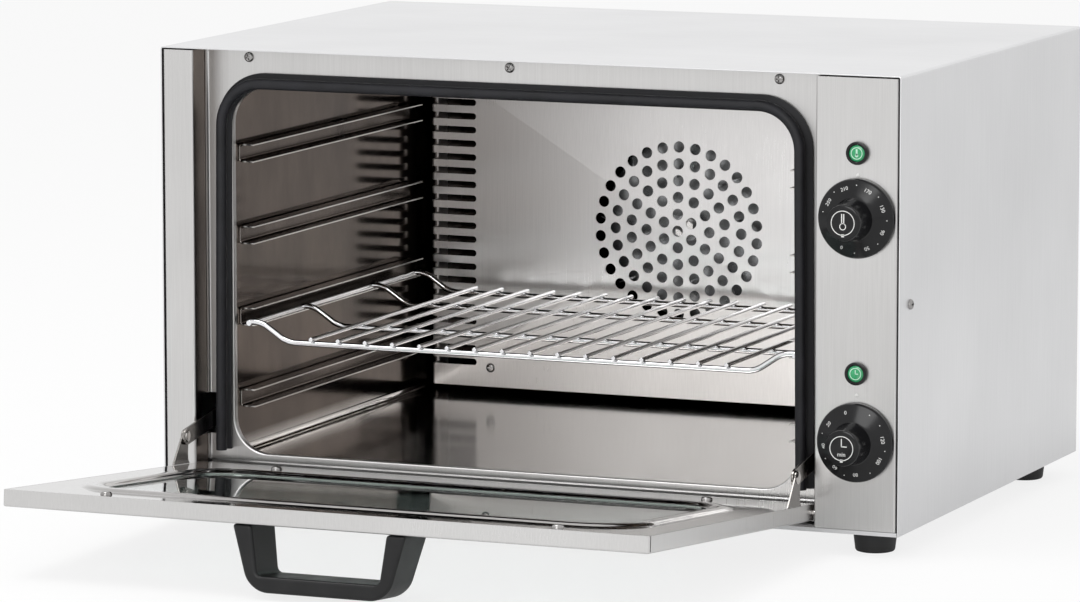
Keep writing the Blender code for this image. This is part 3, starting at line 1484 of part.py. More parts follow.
def make_feet():
    profile = [
        (0, -GAP),
        (FOOT_TOP_RADIUS, -GAP),
        (FOOT_TOP_RADIUS, -GAP - FOOT_EDGE),
        (FOOT_BASE_RADIUS, FOOT_EDGE - FOOT_HEIGHT),
        (FOOT_BASE_RADIUS - FOOT_EDGE, -FOOT_HEIGHT),
        (0, -FOOT_HEIGHT),
    ]
    x = HALF_SHARE * CASING_WIDTH - FOOT_INSET
    for end, y in (("front", FOOT_FRONT), ("rear", CASING_DEPTH - FOOT_REAR_ROOM)):
        for name, side in SIDES:
            turned(f"foot_{end}_{name}", profile, FOOT_STEPS, rubber, datum, (side * x, y, 0))


def centre_on_table():
    """The open door's handle reaches furthest to the front, the motor cover to the back."""
    bpy.context.view_layer.update()
    handle = bpy.data.objects["door_handle"]
    front = min((handle.matrix_world @ vert.co).y for vert in handle.data.vertices)
    datum.location.y = -HALF_SHARE * (front + REAR_REACH)
    bpy.context.view_layer.update()


make_casing()
cut_front()
make_front_frame()
make_gasket()
make_liner()
make_rails()
make_rack(empty("rack_slide", (RECESS_X + RACK_SHIFT, 0, 0), datum))
make_baffle()
make_fan(empty("fan_axis", (RECESS_X, 0, FAN_HEIGHT), datum))
make_motor()
make_element()
make_rear()
make_door(empty("door_hinge", (RECESS_X, HINGE_Y, HINGE_Z), datum, DOOR_OPEN))
make_stays()
make_hinge_pins()
make_electrics()
make_blanket()
make_feet()
centre_on_table()
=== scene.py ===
import math

import bmesh
import bpy
from mathutils import Matrix, Vector


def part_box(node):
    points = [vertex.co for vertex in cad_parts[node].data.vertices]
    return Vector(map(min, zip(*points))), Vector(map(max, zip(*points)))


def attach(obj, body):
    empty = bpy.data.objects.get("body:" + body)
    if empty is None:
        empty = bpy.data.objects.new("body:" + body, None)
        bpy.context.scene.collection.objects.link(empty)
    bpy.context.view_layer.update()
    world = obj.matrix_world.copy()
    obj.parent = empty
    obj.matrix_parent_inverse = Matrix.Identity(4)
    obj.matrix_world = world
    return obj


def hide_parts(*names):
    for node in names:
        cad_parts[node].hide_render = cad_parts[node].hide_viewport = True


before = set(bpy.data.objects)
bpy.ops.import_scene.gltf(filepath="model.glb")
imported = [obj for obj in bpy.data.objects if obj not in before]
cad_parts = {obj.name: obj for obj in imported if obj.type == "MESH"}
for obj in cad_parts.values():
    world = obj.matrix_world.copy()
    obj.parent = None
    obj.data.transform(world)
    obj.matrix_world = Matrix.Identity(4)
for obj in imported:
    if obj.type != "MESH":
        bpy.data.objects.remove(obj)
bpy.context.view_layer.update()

bpy.ops.object.select_all(action="DESELECT")

slide = Matrix.Translation


def spun(angle, axis="Z"):
    return Matrix.Rotation(math.radians(angle), 4, axis)


# Everything on the casing is drawn from the casing's own datum: x from its middle, y back from
# its front face, z up from its underside. The door is drawn shut and upright on its hinge line.
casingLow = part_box("casing_cover")[0]
casingPlace = slide((0, casingLow.y, casingLow.z))
hinge = {"x": -0.0195, "y": 0.0032, "z": 0.0135, "open": 84.8, "pinHole": 0.0021, "reach": 0.004}
doorPlace = (
    casingPlace
    @ slide((hinge["x"], hinge["y"], hinge["z"]))
    @ spun(hinge["open"], "X")
)
facing = spun(90, "X")  # z turns to the front, y stays up
recess = {"left": -0.273, "right": 0.234, "middle": -0.0195, "depth": 0.024}
inkThickness = 0.00005  # of every print
hair = 0.0001  # how near a point has to be to count as on a line
sides = (("Left", "left", -1), ("Right", "right", 1))


# Small tools

def deselect():
    if bpy.context.mode != "OBJECT":
        bpy.ops.object.mode_set(mode="OBJECT")
    bpy.ops.object.select_all(action="DESELECT")


def take(obj):
    deselect()
    obj.select_set(True)
    bpy.context.view_layer.objects.active = obj
    return obj


def named(name):
    obj = bpy.context.object
    obj.name = obj.data.name = name
    bpy.ops.object.transform_apply(location=True, rotation=True, scale=True)
    return obj


def everything(item):
    return True


# Middle of a vertex, an edge or a face
def spot(item):
    if isinstance(item, bmesh.types.BMVert):
        return item.co
    if isinstance(item, bmesh.types.BMEdge):
        return (item.verts[0].co + item.verts[1].co) / 2
    return item.calc_center_median()


def pick(obj, kind, test):
    bpy.ops.mesh.select_mode(type=kind)
    bpy.ops.mesh.select_all(action="DESELECT")
    grid = bmesh.from_edit_mesh(obj.data)
    for item in {"VERT": grid.verts, "EDGE": grid.edges, "FACE": grid.faces}[kind]:
        if test(item):
            item.select_set(True)
    grid.select_flush_mode()
    bmesh.update_edit_mesh(obj.data)


def edit(obj, kind, test=everything):
    take(obj)
    bpy.ops.object.mode_set(mode="EDIT")
    pick(obj, kind, test)


def extrude(shift):
    bpy.ops.mesh.extrude_region_move(TRANSFORM_OT_translate={"value": shift})


def turnFacesOut():
    bpy.ops.mesh.select_all(action="SELECT")
    bpy.ops.mesh.normals_make_consistent(inside=False)


def endEdit(turnOut=True):
    if turnOut:
        turnFacesOut()
    bpy.ops.object.mode_set(mode="OBJECT")


def modify(obj, kind, **settings):
    take(obj)
    step = obj.modifiers.new(kind.lower(), kind)
    for key, value in settings.items():
        setattr(step, key, value)
    bpy.ops.object.modifier_apply(modifier=step.name)
    return obj


def soften(obj, width, segments=2, angle=40):
    return modify(
        obj,
        "BEVEL",
        width=width,
        segments=segments,
        limit_method="ANGLE",
        angle_limit=math.radians(angle),
    )


# Rounds the edges, or the corners, that are picked
def roundOff(width, steps, what="EDGES"):
    bpy.ops.mesh.bevel(offset=width, segments=steps, affect=what)


def thicken(obj, thickness, offset=0):
    modify(obj, "SOLIDIFY", thickness=thickness, offset=offset, use_even_offset=True)


def smooth(obj, angle=30):
    take(obj)
    bpy.ops.object.shade_smooth_by_angle(angle=math.radians(angle))
    return modify(obj, "WEIGHTED_NORMAL", weight=100, keep_sharp=True)


def cutAway(obj, *cutters):
    for cutter in cutters:
        modify(obj, "BOOLEAN", operation="DIFFERENCE", solver="EXACT", object=cutter)
        bpy.data.objects.remove(cutter)
    return obj


def drill(obj, start, end, radius):
    cutAway(obj, addRod("hole", start, end, radius))


def joined(name, pieces):
    deselect()
    for piece in pieces:
        piece.select_set(True)
    bpy.context.view_layer.objects.active = pieces[0]
    if len(pieces) > 1:
        bpy.ops.object.join()
    return named(name)


# A copy with its own mesh, shifted, or mirrored about x = 0
def copyOf(obj, name, shift=(0, 0, 0), mirror=False):
    take(obj)
    bpy.ops.object.duplicate(linked=False)
    made = bpy.context.object
    if mirror:
        made.scale.x = -1
    made.location = shift
    made = named(name)
    if mirror:
        edit(made, "FACE")
        endEdit()
    return made


# The first of its kind goes once its copies are made
def putAway(*masters):
    for master in masters:
        bpy.data.objects.remove(master)


def moved(obj, matrix):
    take(obj)
    obj.matrix_world = matrix @ obj.matrix_world
    bpy.ops.object.transform_apply(location=True, rotation=True, scale=True)
    return obj


def addBox(name, low, high):
    low, high = Vector(low), Vector(high)
    deselect()
    bpy.ops.mesh.primitive_cube_add(size=1, location=(low + high) / 2, scale=high - low)
    return named(name)


def addRod(name, start, end, radius, corners=24):
    start, end = Vector(start), Vector(end)
    along = end - start
    deselect()
    bpy.ops.mesh.primitive_cylinder_add(
        vertices=corners,
        radius=radius,
        depth=along.length,
        location=(start + end) / 2,
        rotation=along.to_track_quat("Z", "Y").to_euler(),
    )
    return named(name)


# An upright face that looks to the front, its corners rounded
def addPlate(name, x, z, width, height, radius=0, steps=10, y=0):
    deselect()
    bpy.ops.mesh.primitive_plane_add(
        size=1, location=(x, y, z), rotation=(math.radians(90), 0, 0)
    )
    bpy.context.object.scale = (width, height, 1)
    obj = named(name)
    if radius:
        edit(obj, "VERT")
        roundOff(radius, steps, "VERTICES")
        endEdit(turnOut=False)
    return obj


def drawOut(obj, shift, kind="FACE"):
    edit(obj, kind)
    extrude(shift)
    endEdit()
    return obj


def addPrism(name, x, z, width, height, radius, near, far, steps=10):
    plate = addPlate(name, x, z, width, height, radius, steps, near)
    return drawOut(plate, (0, far - near, 0))


# One vertex drawn out from point to point, with rounded corners
def drawLine(name, points, bend=0, steps=6, closed=False):
    points = [Vector(point) for point in points]
    deselect()
    bpy.ops.mesh.primitive_plane_add(size=0.001, location=points[0])
    obj = named(name)
    edit(obj, "VERT")
    bpy.ops.mesh.merge(type="CENTER")
    for here, there in zip(points, points[1:]):
        extrude(there - here)
    if closed:
        bpy.ops.mesh.select_all(action="SELECT")
        bpy.ops.mesh.edge_face_add()
    if bend:
        pick(obj, "VERT", lambda vert: len(vert.link_edges) == 2 and turns(vert))
        roundOff(bend, steps, "VERTICES")
    endEdit(turnOut=False)
    return obj


def turns(vert):
    one, other = (edge.other_vert(vert).co - vert.co for edge in vert.link_edges)
    return one.angle(other) < math.radians(179)


# A ring drawn out through (radius, height) pairs and closed at both ends
def turned(name, profile, corners=48):
    radius, height = profile[0]
    deselect()
    bpy.ops.mesh.primitive_circle_add(
        vertices=corners, radius=radius, fill_type="NOTHING", location=(0, 0, height)
    )
    obj = named(name)
    edit(obj, "EDGE")
    for (radius, height), (nextRadius, nextHeight) in zip(profile, profile[1:]):
        extrude((0, 0, nextHeight - height))
        share = nextRadius / radius
        bpy.ops.transform.resize(value=(share, share, 1), center_override=(0, 0, nextHeight))
    bpy.ops.mesh.select_all(action="SELECT")
    bpy.ops.mesh.fill_holes(sides=0)
    endEdit()
    return obj


# A line bent at its corners, drawn out to the back and given its thickness
def foldedSheet(name, points, bend, depth, thickness, edge=0.0002, steps=5):
    obj = drawLine(name, points, bend, steps)
    drawOut(obj, (0, depth, 0), "EDGE")
    thicken(obj, thickness)
    return soften(obj, edge, 2) if edge else obj


# A closed section carried along a flat line, which then stands up to face the front
def sweep(line, section, name):
    profile = drawLine(name + "Section", [(x, y, 0) for x, y in section], closed=True)
    edit(profile, "FACE")
    bpy.ops.mesh.delete(type="ONLY_FACE")
    endEdit(turnOut=False)
    take(profile)
    bpy.ops.object.convert(target="CURVE")
    profile.data.dimensions = "2D"
    profile.data.fill_mode = "NONE"
    take(line)
    bpy.ops.object.convert(target="CURVE")
    curve = line.data
    curve.dimensions = "3D"
    curve.twist_mode = "Z_UP"
    if curve.splines[0].points[0].co.x > curve.splines[0].points[-1].co.x:
        bpy.ops.object.mode_set(mode="EDIT")
        bpy.ops.curve.select_all(action="SELECT")
        bpy.ops.curve.switch_direction()
        bpy.ops.object.mode_set(mode="OBJECT")
    curve.bevel_mode = "OBJECT"
    curve.bevel_object = profile
    curve.use_fill_caps = True
    bpy.ops.object.convert(target="MESH")
    made = bpy.context.object
    bpy.data.objects.remove(profile)
    made.name = name
    edit(made, "VERT")
    bpy.ops.mesh.remove_doubles(threshold=0.00001)
    endEdit()
    return moved(made, facing)


def wire(name, points, radius, bend=0, steps=6, roundness=3):
    line = drawLine(name, points, bend, steps)
    take(line)
    bpy.ops.object.convert(target="CURVE")
    line.data.dimensions = "3D"
    line.data.bevel_depth = radius
    line.data.bevel_resolution = roundness
    line.data.use_fill_caps = True
    bpy.ops.object.convert(target="MESH")
    made = bpy.context.object
    edit(made, "VERT")
    bpy.ops.mesh.remove_doubles(threshold=0.00001)
    endEdit()
    return smooth(made, 50)


def addText(words, size):
    deselect()
    bpy.ops.object.text_add()
    text = bpy.context.object
    text.data.body = words
    text.data.size = size
    text.data.align_x = "CENTER"
    text.data.align_y = "CENTER"
    text.data.resolution_u = 3
    text.data.extrude = inkThickness
    bpy.ops.object.convert(target="MESH")
    return named("print")


def addDot(width):
    deselect()
    bpy.ops.mesh.primitive_circle_add(vertices=12, radius=width / 2, fill_type="NGON")
    return drawOut(named("dot"), (0, 0, inkThickness))


def addBar(width, height):
    deselect()
    bpy.ops.mesh.primitive_plane_add(size=1)
    bpy.context.object.scale = (width, height, 1)
    return drawOut(named("bar"), (0, 0, inkThickness))


def addRing(radius, width, corners=48):
    deselect()
    bpy.ops.mesh.primitive_circle_add(vertices=corners, radius=radius, fill_type="NGON")
    obj = named("ring")
    edit(obj, "FACE")
    bpy.ops.mesh.inset(thickness=width)
    bpy.ops.mesh.delete(type="FACE")
    pick(obj, "FACE", everything)
    extrude((0, 0, inkThickness))
    endEdit()
    return obj


# Marks given by what they are, where their middle lies, and their size
def addPrints(marks, place=Matrix()):
    return [moved(add(*size), place @ slide((*middle, 0))) for add, middle, size in marks]


# Materials

def colour(code):
    parts = [int(code[i : i + 2], 16) / 255 for i in (1, 3, 5)]
    linear = [p / 12.92 if p <= 0.04045 else ((p + 0.055) / 1.055) ** 2.4 for p in parts]
    return (*linear, 1)


def addNode(tree, kind, settings=None, inputs=None):
    node = tree.nodes.new(kind)
    for key, value in (settings or {}).items():
        setattr(node, key, value)
    for key, value in (inputs or {}).items():
        if isinstance(value, bpy.types.NodeSocket):
            tree.links.new(value, node.inputs[key])
        else:
            node.inputs[key].default_value = value
    return node


def newMaterial(name, **values):
    made = bpy.data.materials.new(name)
    made.use_nodes = True
    shader = made.node_tree.nodes["Principled BSDF"]
    for key, value in values.items():
        shader.inputs[key].default_value = value
    made.diffuse_color = shader.inputs["Base Color"].default_value
    return made, made.node_tree, shader


# A texture on Object coordinates; scale is in repeats per metre along x, y and z
def addPattern(tree, scale, kind="ShaderNodeTexNoise", **inputs):
    coordinates = addNode(tree, "ShaderNodeTexCoord")
    mapping = addNode(
        tree,
        "ShaderNodeMapping",
        inputs={"Vector": coordinates.outputs["Object"], "Scale": scale},
    )
    values = {"Vector": mapping.outputs["Vector"], "Scale": 1.0, **inputs}
    return addNode(tree, kind, inputs=values)


# The pattern's value, stretched from start..end to low..high
def spread(tree, source, low, high, start=0.3, end=0.7):
    values = {"Value": source, "From Min": start, "From Max": end, "To Min": low, "To Max": high}
    return addNode(tree, "ShaderNodeMapRange", inputs=values).outputs["Result"]


def shades(tree, source, dark, light, start=0.3, end=0.7):
    ramp = addNode(tree, "ShaderNodeValToRGB", inputs={"Fac": source})
    ramp.color_ramp.elements[0].position = start
    ramp.color_ramp.elements[0].color = colour(dark)
    ramp.color_ramp.elements[1].position = end
    ramp.color_ramp.elements[1].color = colour(light)
    return ramp.outputs["Color"]


def addBump(tree, shader, source, distance, strength=1.0):
    values = {"Height": source, "Distance": distance, "Strength": strength}
    bump = addNode(tree, "ShaderNodeBump", inputs=values)
    tree.links.new(bump.outputs["Normal"], shader.inputs["Normal"])


# Satin sheet: long fine scratches, and slow cloudiness of the polish
def brushedMetal(name, dark, light, roughness, grain, bump=0.00002, stretch=0.0, clouds=0.5):
    made, tree, shader = newMaterial(name, Metallic=1.0, Anisotropic=stretch)
    lines = addPattern(tree, grain, Detail=4.0, Roughness=0.7)
    tone = addPattern(tree, (7, 7, 7), Detail=2.0)
    both = addNode(
        tree,
        "ShaderNodeMix",
        {"data_type": "FLOAT"},
        {"Factor": clouds, "A": lines.outputs["Fac"], "B": tone.outputs["Fac"]},
    )
    tree.links.new(shades(tree, both.outputs["Result"], dark, light), shader.inputs["Base Color"])
    low, high = roughness
    tree.links.new(spread(tree, both.outputs["Result"], high, low), shader.inputs["Roughness"])
    addBump(tree, shader, lines.outputs["Fac"], bump)
    return made


# brushed grain, in repeats per metre across and along it: 0.8 mm wide, ten times the real
# scratches, so that they show in the render
fine, long = 1300, 18

# No. 4 polished 430 stainless sheet: belt-brushed, so it has long hairlines and soft highlights
coverSteel = brushedMetal(
    "brushedStainlessCover", "#D5D5D6", "#E0E0E1", (0.30, 0.40), (long, fine, long)
)
# the same sheet, its hairlines upright on the front, painted darker than the cover: painted shade
# on the front faces
frontSteel = brushedMetal(
    "brushedStainlessFront", "#C2C1C0", "#D3D2D1", (0.26, 0.36), (fine, fine, long), 0.00002, 0.6
)
# bright annealed stainless, rolled and not brushed: nearly a mirror, a little hazy
brightSteel = brushedMetal(
    "brightAnnealedStainless", "#CFCBC8", "#DCD9D6", (0.10, 0.16), (260, 260, 40), 0.000004
)
# door lining, the same bright sheet before any use: the clearest mirror of the oven, painted
# darker than the bright sheet as painted shade
doorSteel = brushedMetal(
    "mirrorStainlessDoor", "#A5A3A2", "#B6B4B2", (0.06, 0.10), (160, 160, 40), 0.000003
)
# cavity sheet, bright stainless gone warm and a little brown from heat; also laid on the posts'
# recess walls as painted shade
cavitySteel = brushedMetal(
    "heatTintAndPaintedShadeStainless", "#4E4540", "#71665E", (0.18, 0.28), (30, 30, 12), 0.000003
)
# the liner: darker brown walls, heat-tinted; its floor is painted lighter, a painted reflection
# of the baffle, and the sheet near the element and behind the baffle is painted nearly black, a
# painted shade
linerSteel = brushedMetal(
    "heatTintAndPaintedLightLiner", "#4A413C", "#6C6057", (0.08, 0.15), (30, 30, 12), 0.000003
)


# Paints light and shade by place: turns the colour to the tint where the coordinate lies at or
# beyond its end
def addTint(made, axis, start, end, tint):
    tree = made.node_tree
    shader = tree.nodes["Principled BSDF"]
    coordinates = addNode(tree, "ShaderNodeTexCoord")
    vector = {"Vector": coordinates.outputs["Object"]}
    places = addNode(tree, "ShaderNodeSeparateXYZ", inputs=vector)
    share = spread(tree, places.outputs[axis], 0, 1, start, end)
    untinted = shader.inputs["Base Color"].links[0].from_socket
    colours = {0: share, 6: untinted, 7: colour(tint)}
    mixed = addNode(tree, "ShaderNodeMix", {"data_type": "RGBA"}, colours)
    tree.links.new(mixed.outputs[2], shader.inputs["Base Color"])


# painted reflection: the liner's floor is painted light, as if it mirrored the baffle
addTint(linerSteel, "Z", 0.054, 0.042, "#DDD9D5")
# painted shade: the sheet towards the back, round the element and behind the baffle, is painted
# nearly black
addTint(linerSteel, "Y", 0.292, 0.306, "#383432")
# baffle, satin sheet with upright hairlines, painted lighter than the front's sheet: painted
# light against the shade of the cavity
baffleSteel = brushedMetal(
    "brushedStainlessBaffle", "#E0DEDD", "#F1EFEE", (0.26, 0.34), (fine, fine, long), 0.00001, 0.8
)
# zinc-plated mild steel of the brackets inside: dull, faintly blotchy
zincSteel = brushedMetal(
    "zincPlatedSteel", "#A9ABAC", "#C2C4C6", (0.32, 0.45), (120, 120, 120), 0.00001
)
# passivated steel of the screws: duller and darker than the sheet
screwSteel = brushedMetal(
    "passivatedScrewSteel", "#8F8D8C", "#A9A7A6", (0.2, 0.3), (900, 900, 900), 0.00001
)
# tumbled and oiled steel of the stay arms and their ears
staySteel = brushedMetal(
    "oiledStaySteel", "#7B7875", "#918E8B", (0.16, 0.24), (400, 400, 400), 0.00001
)
# nickel and chrome over drawn wire: bright, with faint drawing marks
chromeWire = brushedMetal(
    "chromePlatedWire", "#DADADC", "#EBEBEC", (0.07, 0.13), (500, 60, 500), 0.000004
)
# spun and pressed aluminium sheet of the fan
fanAluminium = brushedMetal(
    "pressedAluminium", "#8C8D8E", "#A6A7A8", (0.2, 0.3), (300, 300, 300), 0.00001
)
# enamelled copper wire, wound: a row of round wires, half a millimetre each
copperWire, copperTree, copperShader = newMaterial(
    "enamelledCopperWinding", Metallic=1.0, Roughness=0.35
)
windings = addPattern(copperTree, (2000, 1, 1), "ShaderNodeTexWave", Distortion=0.2)
copperTree.links.new(
    shades(copperTree, windings.outputs["Fac"], "#8A4A22", "#C87E4A", 0.1, 0.9),
    copperShader.inputs["Base Color"],
)
addBump(copperTree, copperShader, windings.outputs["Fac"], 0.0002)


# Moulded surface: faint mottling and a fine grain from the tool
def mouldedPlastic(
    name, dark, light, roughness, grain, bump, ior=1.5, specular=0.5, coatWeight=0.0
):
    values = {"IOR": ior, "Specular IOR Level": specular, "Coat Weight": coatWeight}
    made, tree, shader = newMaterial(name, **values)
    mottle = addPattern(tree, (60, 60, 60), Detail=3.0)
    tree.links.new(shades(tree, mottle.outputs["Fac"], dark, light), shader.inputs["Base Color"])
    low, high = roughness
    tree.links.new(spread(tree, mottle.outputs["Fac"], low, high), shader.inputs["Roughness"])
    fineGrain = addPattern(tree, (grain, grain, grain), Detail=2.0)
    addBump(tree, shader, fineGrain.outputs["Fac"], bump)
    return made


# extruded silicone rubber of the door seal: matt black with a soft, dusty sheen
siliconeRubber = mouldedPlastic(
    "extrudedSiliconeRubber", "#17171A", "#242428", (0.42, 0.55), 900, 0.00002, 1.41, 0.4
)
# compression-moulded phenolic of the knobs: polished tool, so a deep black gloss
knobPhenolic = mouldedPlastic(
    "polishedPhenolic", "#0B0B0D", "#111113", (0.12, 0.19), 500, 0.000003, 1.6, 0.25
)
# the handle, phenolic from a spark-eroded tool: satin, with a fine leather-like grain
handlePhenolic = mouldedPlastic(
    "satinPhenolic", "#131314", "#1B1B1C", (0.28, 0.38), 1400, 0.00002, 1.6, 0.25
)
# moulded rubber of the feet
footRubber = mouldedPlastic(
    "mouldedRubber", "#121213", "#1B1B1C", (0.5, 0.65), 1000, 0.00003, 1.5
)
# white glass-filled nylon of the switch bodies
whiteNylon = mouldedPlastic("whiteNylon", "#DAD7CC", "#E8E5DB", (0.4, 0.5), 800, 0.00001, 1.53)
# mineral wool, needled: pale straw fibres
mineralWool = mouldedPlastic(
    "mineralWool", "#B2A57E", "#D3C8A2", (0.85, 0.98), 350, 0.0012, 1.45
)
# screen-printed white ink
whiteInk = mouldedPlastic("whitePrint", "#E2E2E0", "#EFEFED", (0.4, 0.5), 900, 0.000002)
greenInk = mouldedPlastic("paleGreenPrint", "#B5E3C9", "#C9EED8", (0.3, 0.4), 900, 0.000002)
# polycarbonate lens, moulded clear green
greenLens = mouldedPlastic(
    "greenPolycarbonate", "#109156", "#1FA869", (0.08, 0.14), 300, 0.000002, 1.58, coatWeight=0.5
)

# tempered float glass: faintly green, clear, with a few smears
doorGlass, glassTree, glassShader = newMaterial(
    "temperedGlass", **{"Transmission Weight": 1.0, "IOR": 1.52, "Base Color": colour("#E3EDEA")}
)
smears = addPattern(glassTree, (18, 60, 18), Detail=3.0)
glassTree.links.new(
    spread(glassTree, smears.outputs["Fac"], 0.0, 0.06, 0.5, 0.8), glassShader.inputs["Roughness"]
)
print("materials made")


# Puts a piece in its place, gives it its material, and ties it to its body
def finishPiece(obj, look, body, nodes=(), place=casingPlace):
    moved(obj, place)
    obj.data.materials.clear()
    obj.data.materials.append(look)
    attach(obj, body)
    if nodes:
        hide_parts(*nodes)
    return obj


# Gives some of a finished piece's faces a second finish
def coat(obj, look, test):
    obj.data.materials.append(look)
    edit(obj, "FACE", test)
    obj.active_material_index = len(obj.data.materials) - 1
    bpy.ops.object.material_slot_assign()
    endEdit(turnOut=False)


# Casing cover, left post and control panel
casing = {
    "width": 0.600,
    "depth": 0.424,
    "height": 0.340,
    "sheet": 0.001,
    "bend": 0.0015,
    "edge": 0.00025,
}
posts = {
    "flangeX": 0.2973,
    "front": 0.0005,
    "low": 0.0033,
    "high": 0.3379,
    "bend": 0.0012,
    "wallDepth": 0.0215,
    "edge": 0.00042,
}
notch = {
    "outside": 0.009,
    "inside": 0.005,
    "front": 0.010,
    "back": 0.029,
    "low": 0.0392,
    "high": 0.0710,
}
# each hole's height and radius: the spindles', then the lamps'
panelHoles = ((0.2348, 0.005), (0.0690, 0.005), (0.2827, 0.0063), (0.1200, 0.0063))
panelMiddle = 0.267  # of the dials and lamps

halfWidth = (casing["width"] - casing["sheet"]) / 2
top = casing["height"] - casing["sheet"] / 2
cover = foldedSheet(
    "casingCover",
    [(-halfWidth, 0, 0), (-halfWidth, 0, top), (halfWidth, 0, top), (halfWidth, 0, 0)],
    casing["bend"],
    casing["depth"],
    casing["sheet"],
    casing["edge"],
)
finishPiece(smooth(cover), coverSteel, "housing", ["casing_cover"])


def notchCutter(side):
    wall = recess["left"] if side < 0 else recess["right"]
    ends = sorted((wall - side * notch["outside"], wall + side * notch["inside"]))
    low, high = (notch["front"], notch["low"]), (notch["back"], notch["high"])
    return addBox("notchCutter", (ends[0], *low), (ends[1], *high))


def pinCutter(side):
    wall = recess["left"] if side < 0 else recess["right"]
    reaches = (-hinge["reach"], hinge["reach"])
    ends = [(wall + reach, hinge["y"], hinge["z"]) for reach in reaches]
    return addRod("pinCutter", *ends, hinge["pinHole"])


# Front strip with a flange at the casing wall and one down the side of the recess
def makePost(name, side, node):
    wall = recess["left"] - 0.0005 if side < 0 else recess["right"] + 0.0005
    flange, front = side * posts["flangeX"], posts["front"]
    points = [
        (flange, recess["depth"], posts["low"]),
        (flange, front, posts["low"]),
        (wall, front, posts["low"]),
        (wall, posts["wallDepth"], posts["low"]),
    ]
    post = drawLine(name, points, posts["bend"], 5)
    drawOut(post, (0, 0, posts["high"] - posts["low"]), "EDGE")
    thicken(post, casing["sheet"])
    cutAway(post, notchCutter(side), pinCutter(side))
    if side > 0:
        for z, radius in panelHoles:
            drill(post, (panelMiddle, -0.01, z), (panelMiddle, 0.01, z), radius)
    soften(post, posts["edge"], 3)
    finishPiece(smooth(post), frontSteel, "housing", [node])
    # painted shade: the wall down the side of the recess takes the dark cavity finish
    front += casingLow.y
    coat(
        post,
        cavitySteel,
        lambda face: face.normal.x * side < -0.9
        and abs(spot(face).x - wall) < 0.0008
        and spot(face).y > front + 0.002,
    )


makePost("leftPost", -1, "left_post")
makePost("controlPanel", 1, "control_panel")

# Front frame: plate round the opening, its edge rolled back into a lip
frontFrame = {
    "left": -0.2717,
    "right": 0.2327,
    "low": 0.003,
    "high": 0.3381,
    "joggle": (0.0196, 0.0180),
    "joggleDepth": 0.0015,
    "curl": 0.0024,
    "curlBend": 0.0014,
    "openingWidth": 0.4626,
    "openingHeight": 0.2832,
    "openingZ": 0.1666,
    "openingRadius": 0.028,
    "lip": 0.005,
    "roll": 0.0014,
}


# A plate filled between its outline and a rounded window
def plateWithWindow(name, outer, window, y):
    plate = addPlate(name, *outer, y=y)
    hole = addPlate(name + "Window", *window, y=y)
    for part in (plate, hole):
        edit(part, "FACE")
        bpy.ops.mesh.delete(type="ONLY_FACE")
        endEdit(turnOut=False)
    made = joined(name, [plate, hole])
    edit(made, "EDGE")
    bpy.ops.mesh.fill(use_beauty=True)
    endEdit(turnOut=False)
    return made


outline = (
    (frontFrame["left"] + frontFrame["right"]) / 2,
    (frontFrame["low"] + frontFrame["high"]) / 2,
    frontFrame["right"] - frontFrame["left"],
    frontFrame["high"] - frontFrame["low"],
)
opening = (
    recess["middle"],
    frontFrame["openingZ"],
    frontFrame["openingWidth"],
    frontFrame["openingHeight"],
    frontFrame["openingRadius"],
    16,
)


def insideOpening(edge):
    place = spot(edge)
    return edge.is_boundary and (
        abs(place.x - recess["middle"]) < frontFrame["openingWidth"] / 2 + hair
        and abs(place.z - frontFrame["openingZ"]) < frontFrame["openingHeight"] / 2 + hair
    )


frameObj = plateWithWindow("frontFrame", outline, opening, recess["depth"])
# a joggle along the bottom: the plate steps back behind the door's rear edge
for height in frontFrame["joggle"]:
    edit(frameObj, "FACE")
    bpy.ops.mesh.bisect(plane_co=(0, 0, height), plane_no=(0, 0, 1))
    endEdit(turnOut=False)
edit(frameObj, "VERT", lambda vert: vert.co.z < min(frontFrame["joggle"]) + 0.00005)
bpy.ops.transform.translate(value=(0, frontFrame["joggleDepth"], 0))
turnFacesOut()
pick(frameObj, "EDGE", insideOpening)
extrude((0, frontFrame["lip"], 0))
rolled = recess["depth"]
pick(
    frameObj,
    "EDGE",
    lambda edge: not edge.is_boundary
    and abs(spot(edge).y - rolled) < hair
    and any(abs(face.normal.y) < 0.5 for face in edge.link_faces),
)
roundOff(frontFrame["roll"], 5)


def atSide(edge):
    place = spot(edge)
    return abs(place.y - rolled) < hair and (
        abs(place.x - frontFrame["left"]) < hair or abs(place.x - frontFrame["right"]) < hair
    )


pick(frameObj, "EDGE", atSide)
extrude((0, -frontFrame["curl"], 0))
pick(frameObj, "EDGE", lambda edge: not edge.is_boundary and atSide(edge))
roundOff(frontFrame["curlBend"], 5)
turnFacesOut()
grid = bmesh.from_edit_mesh(frameObj.data)
grid.faces.ensure_lookup_table()
if max(grid.faces, key=lambda face: face.calc_area()).normal.y > 0:
    bpy.ops.mesh.flip_normals()
endEdit(turnOut=False)
thicken(frameObj, casing["sheet"], -1)
cutAway(frameObj, notchCutter(-1), notchCutter(1))
finishPiece(smooth(frameObj, 25), frontSteel, "housing", ["front_frame"])
print("casing made")

# Door gasket: foot, neck and bulb, carried round an inverted U
gasket = {
    "width": 0.012,
    "base": 0.004,
    "neck": 0.004,
    "bulb": 0.0042,
    "offset": 0.0046,
    "proud": 0.01395,
    "splay": 0.0022,
    "end": 0.028,
    "corner": 0.0285,
    "steps": 18,
}


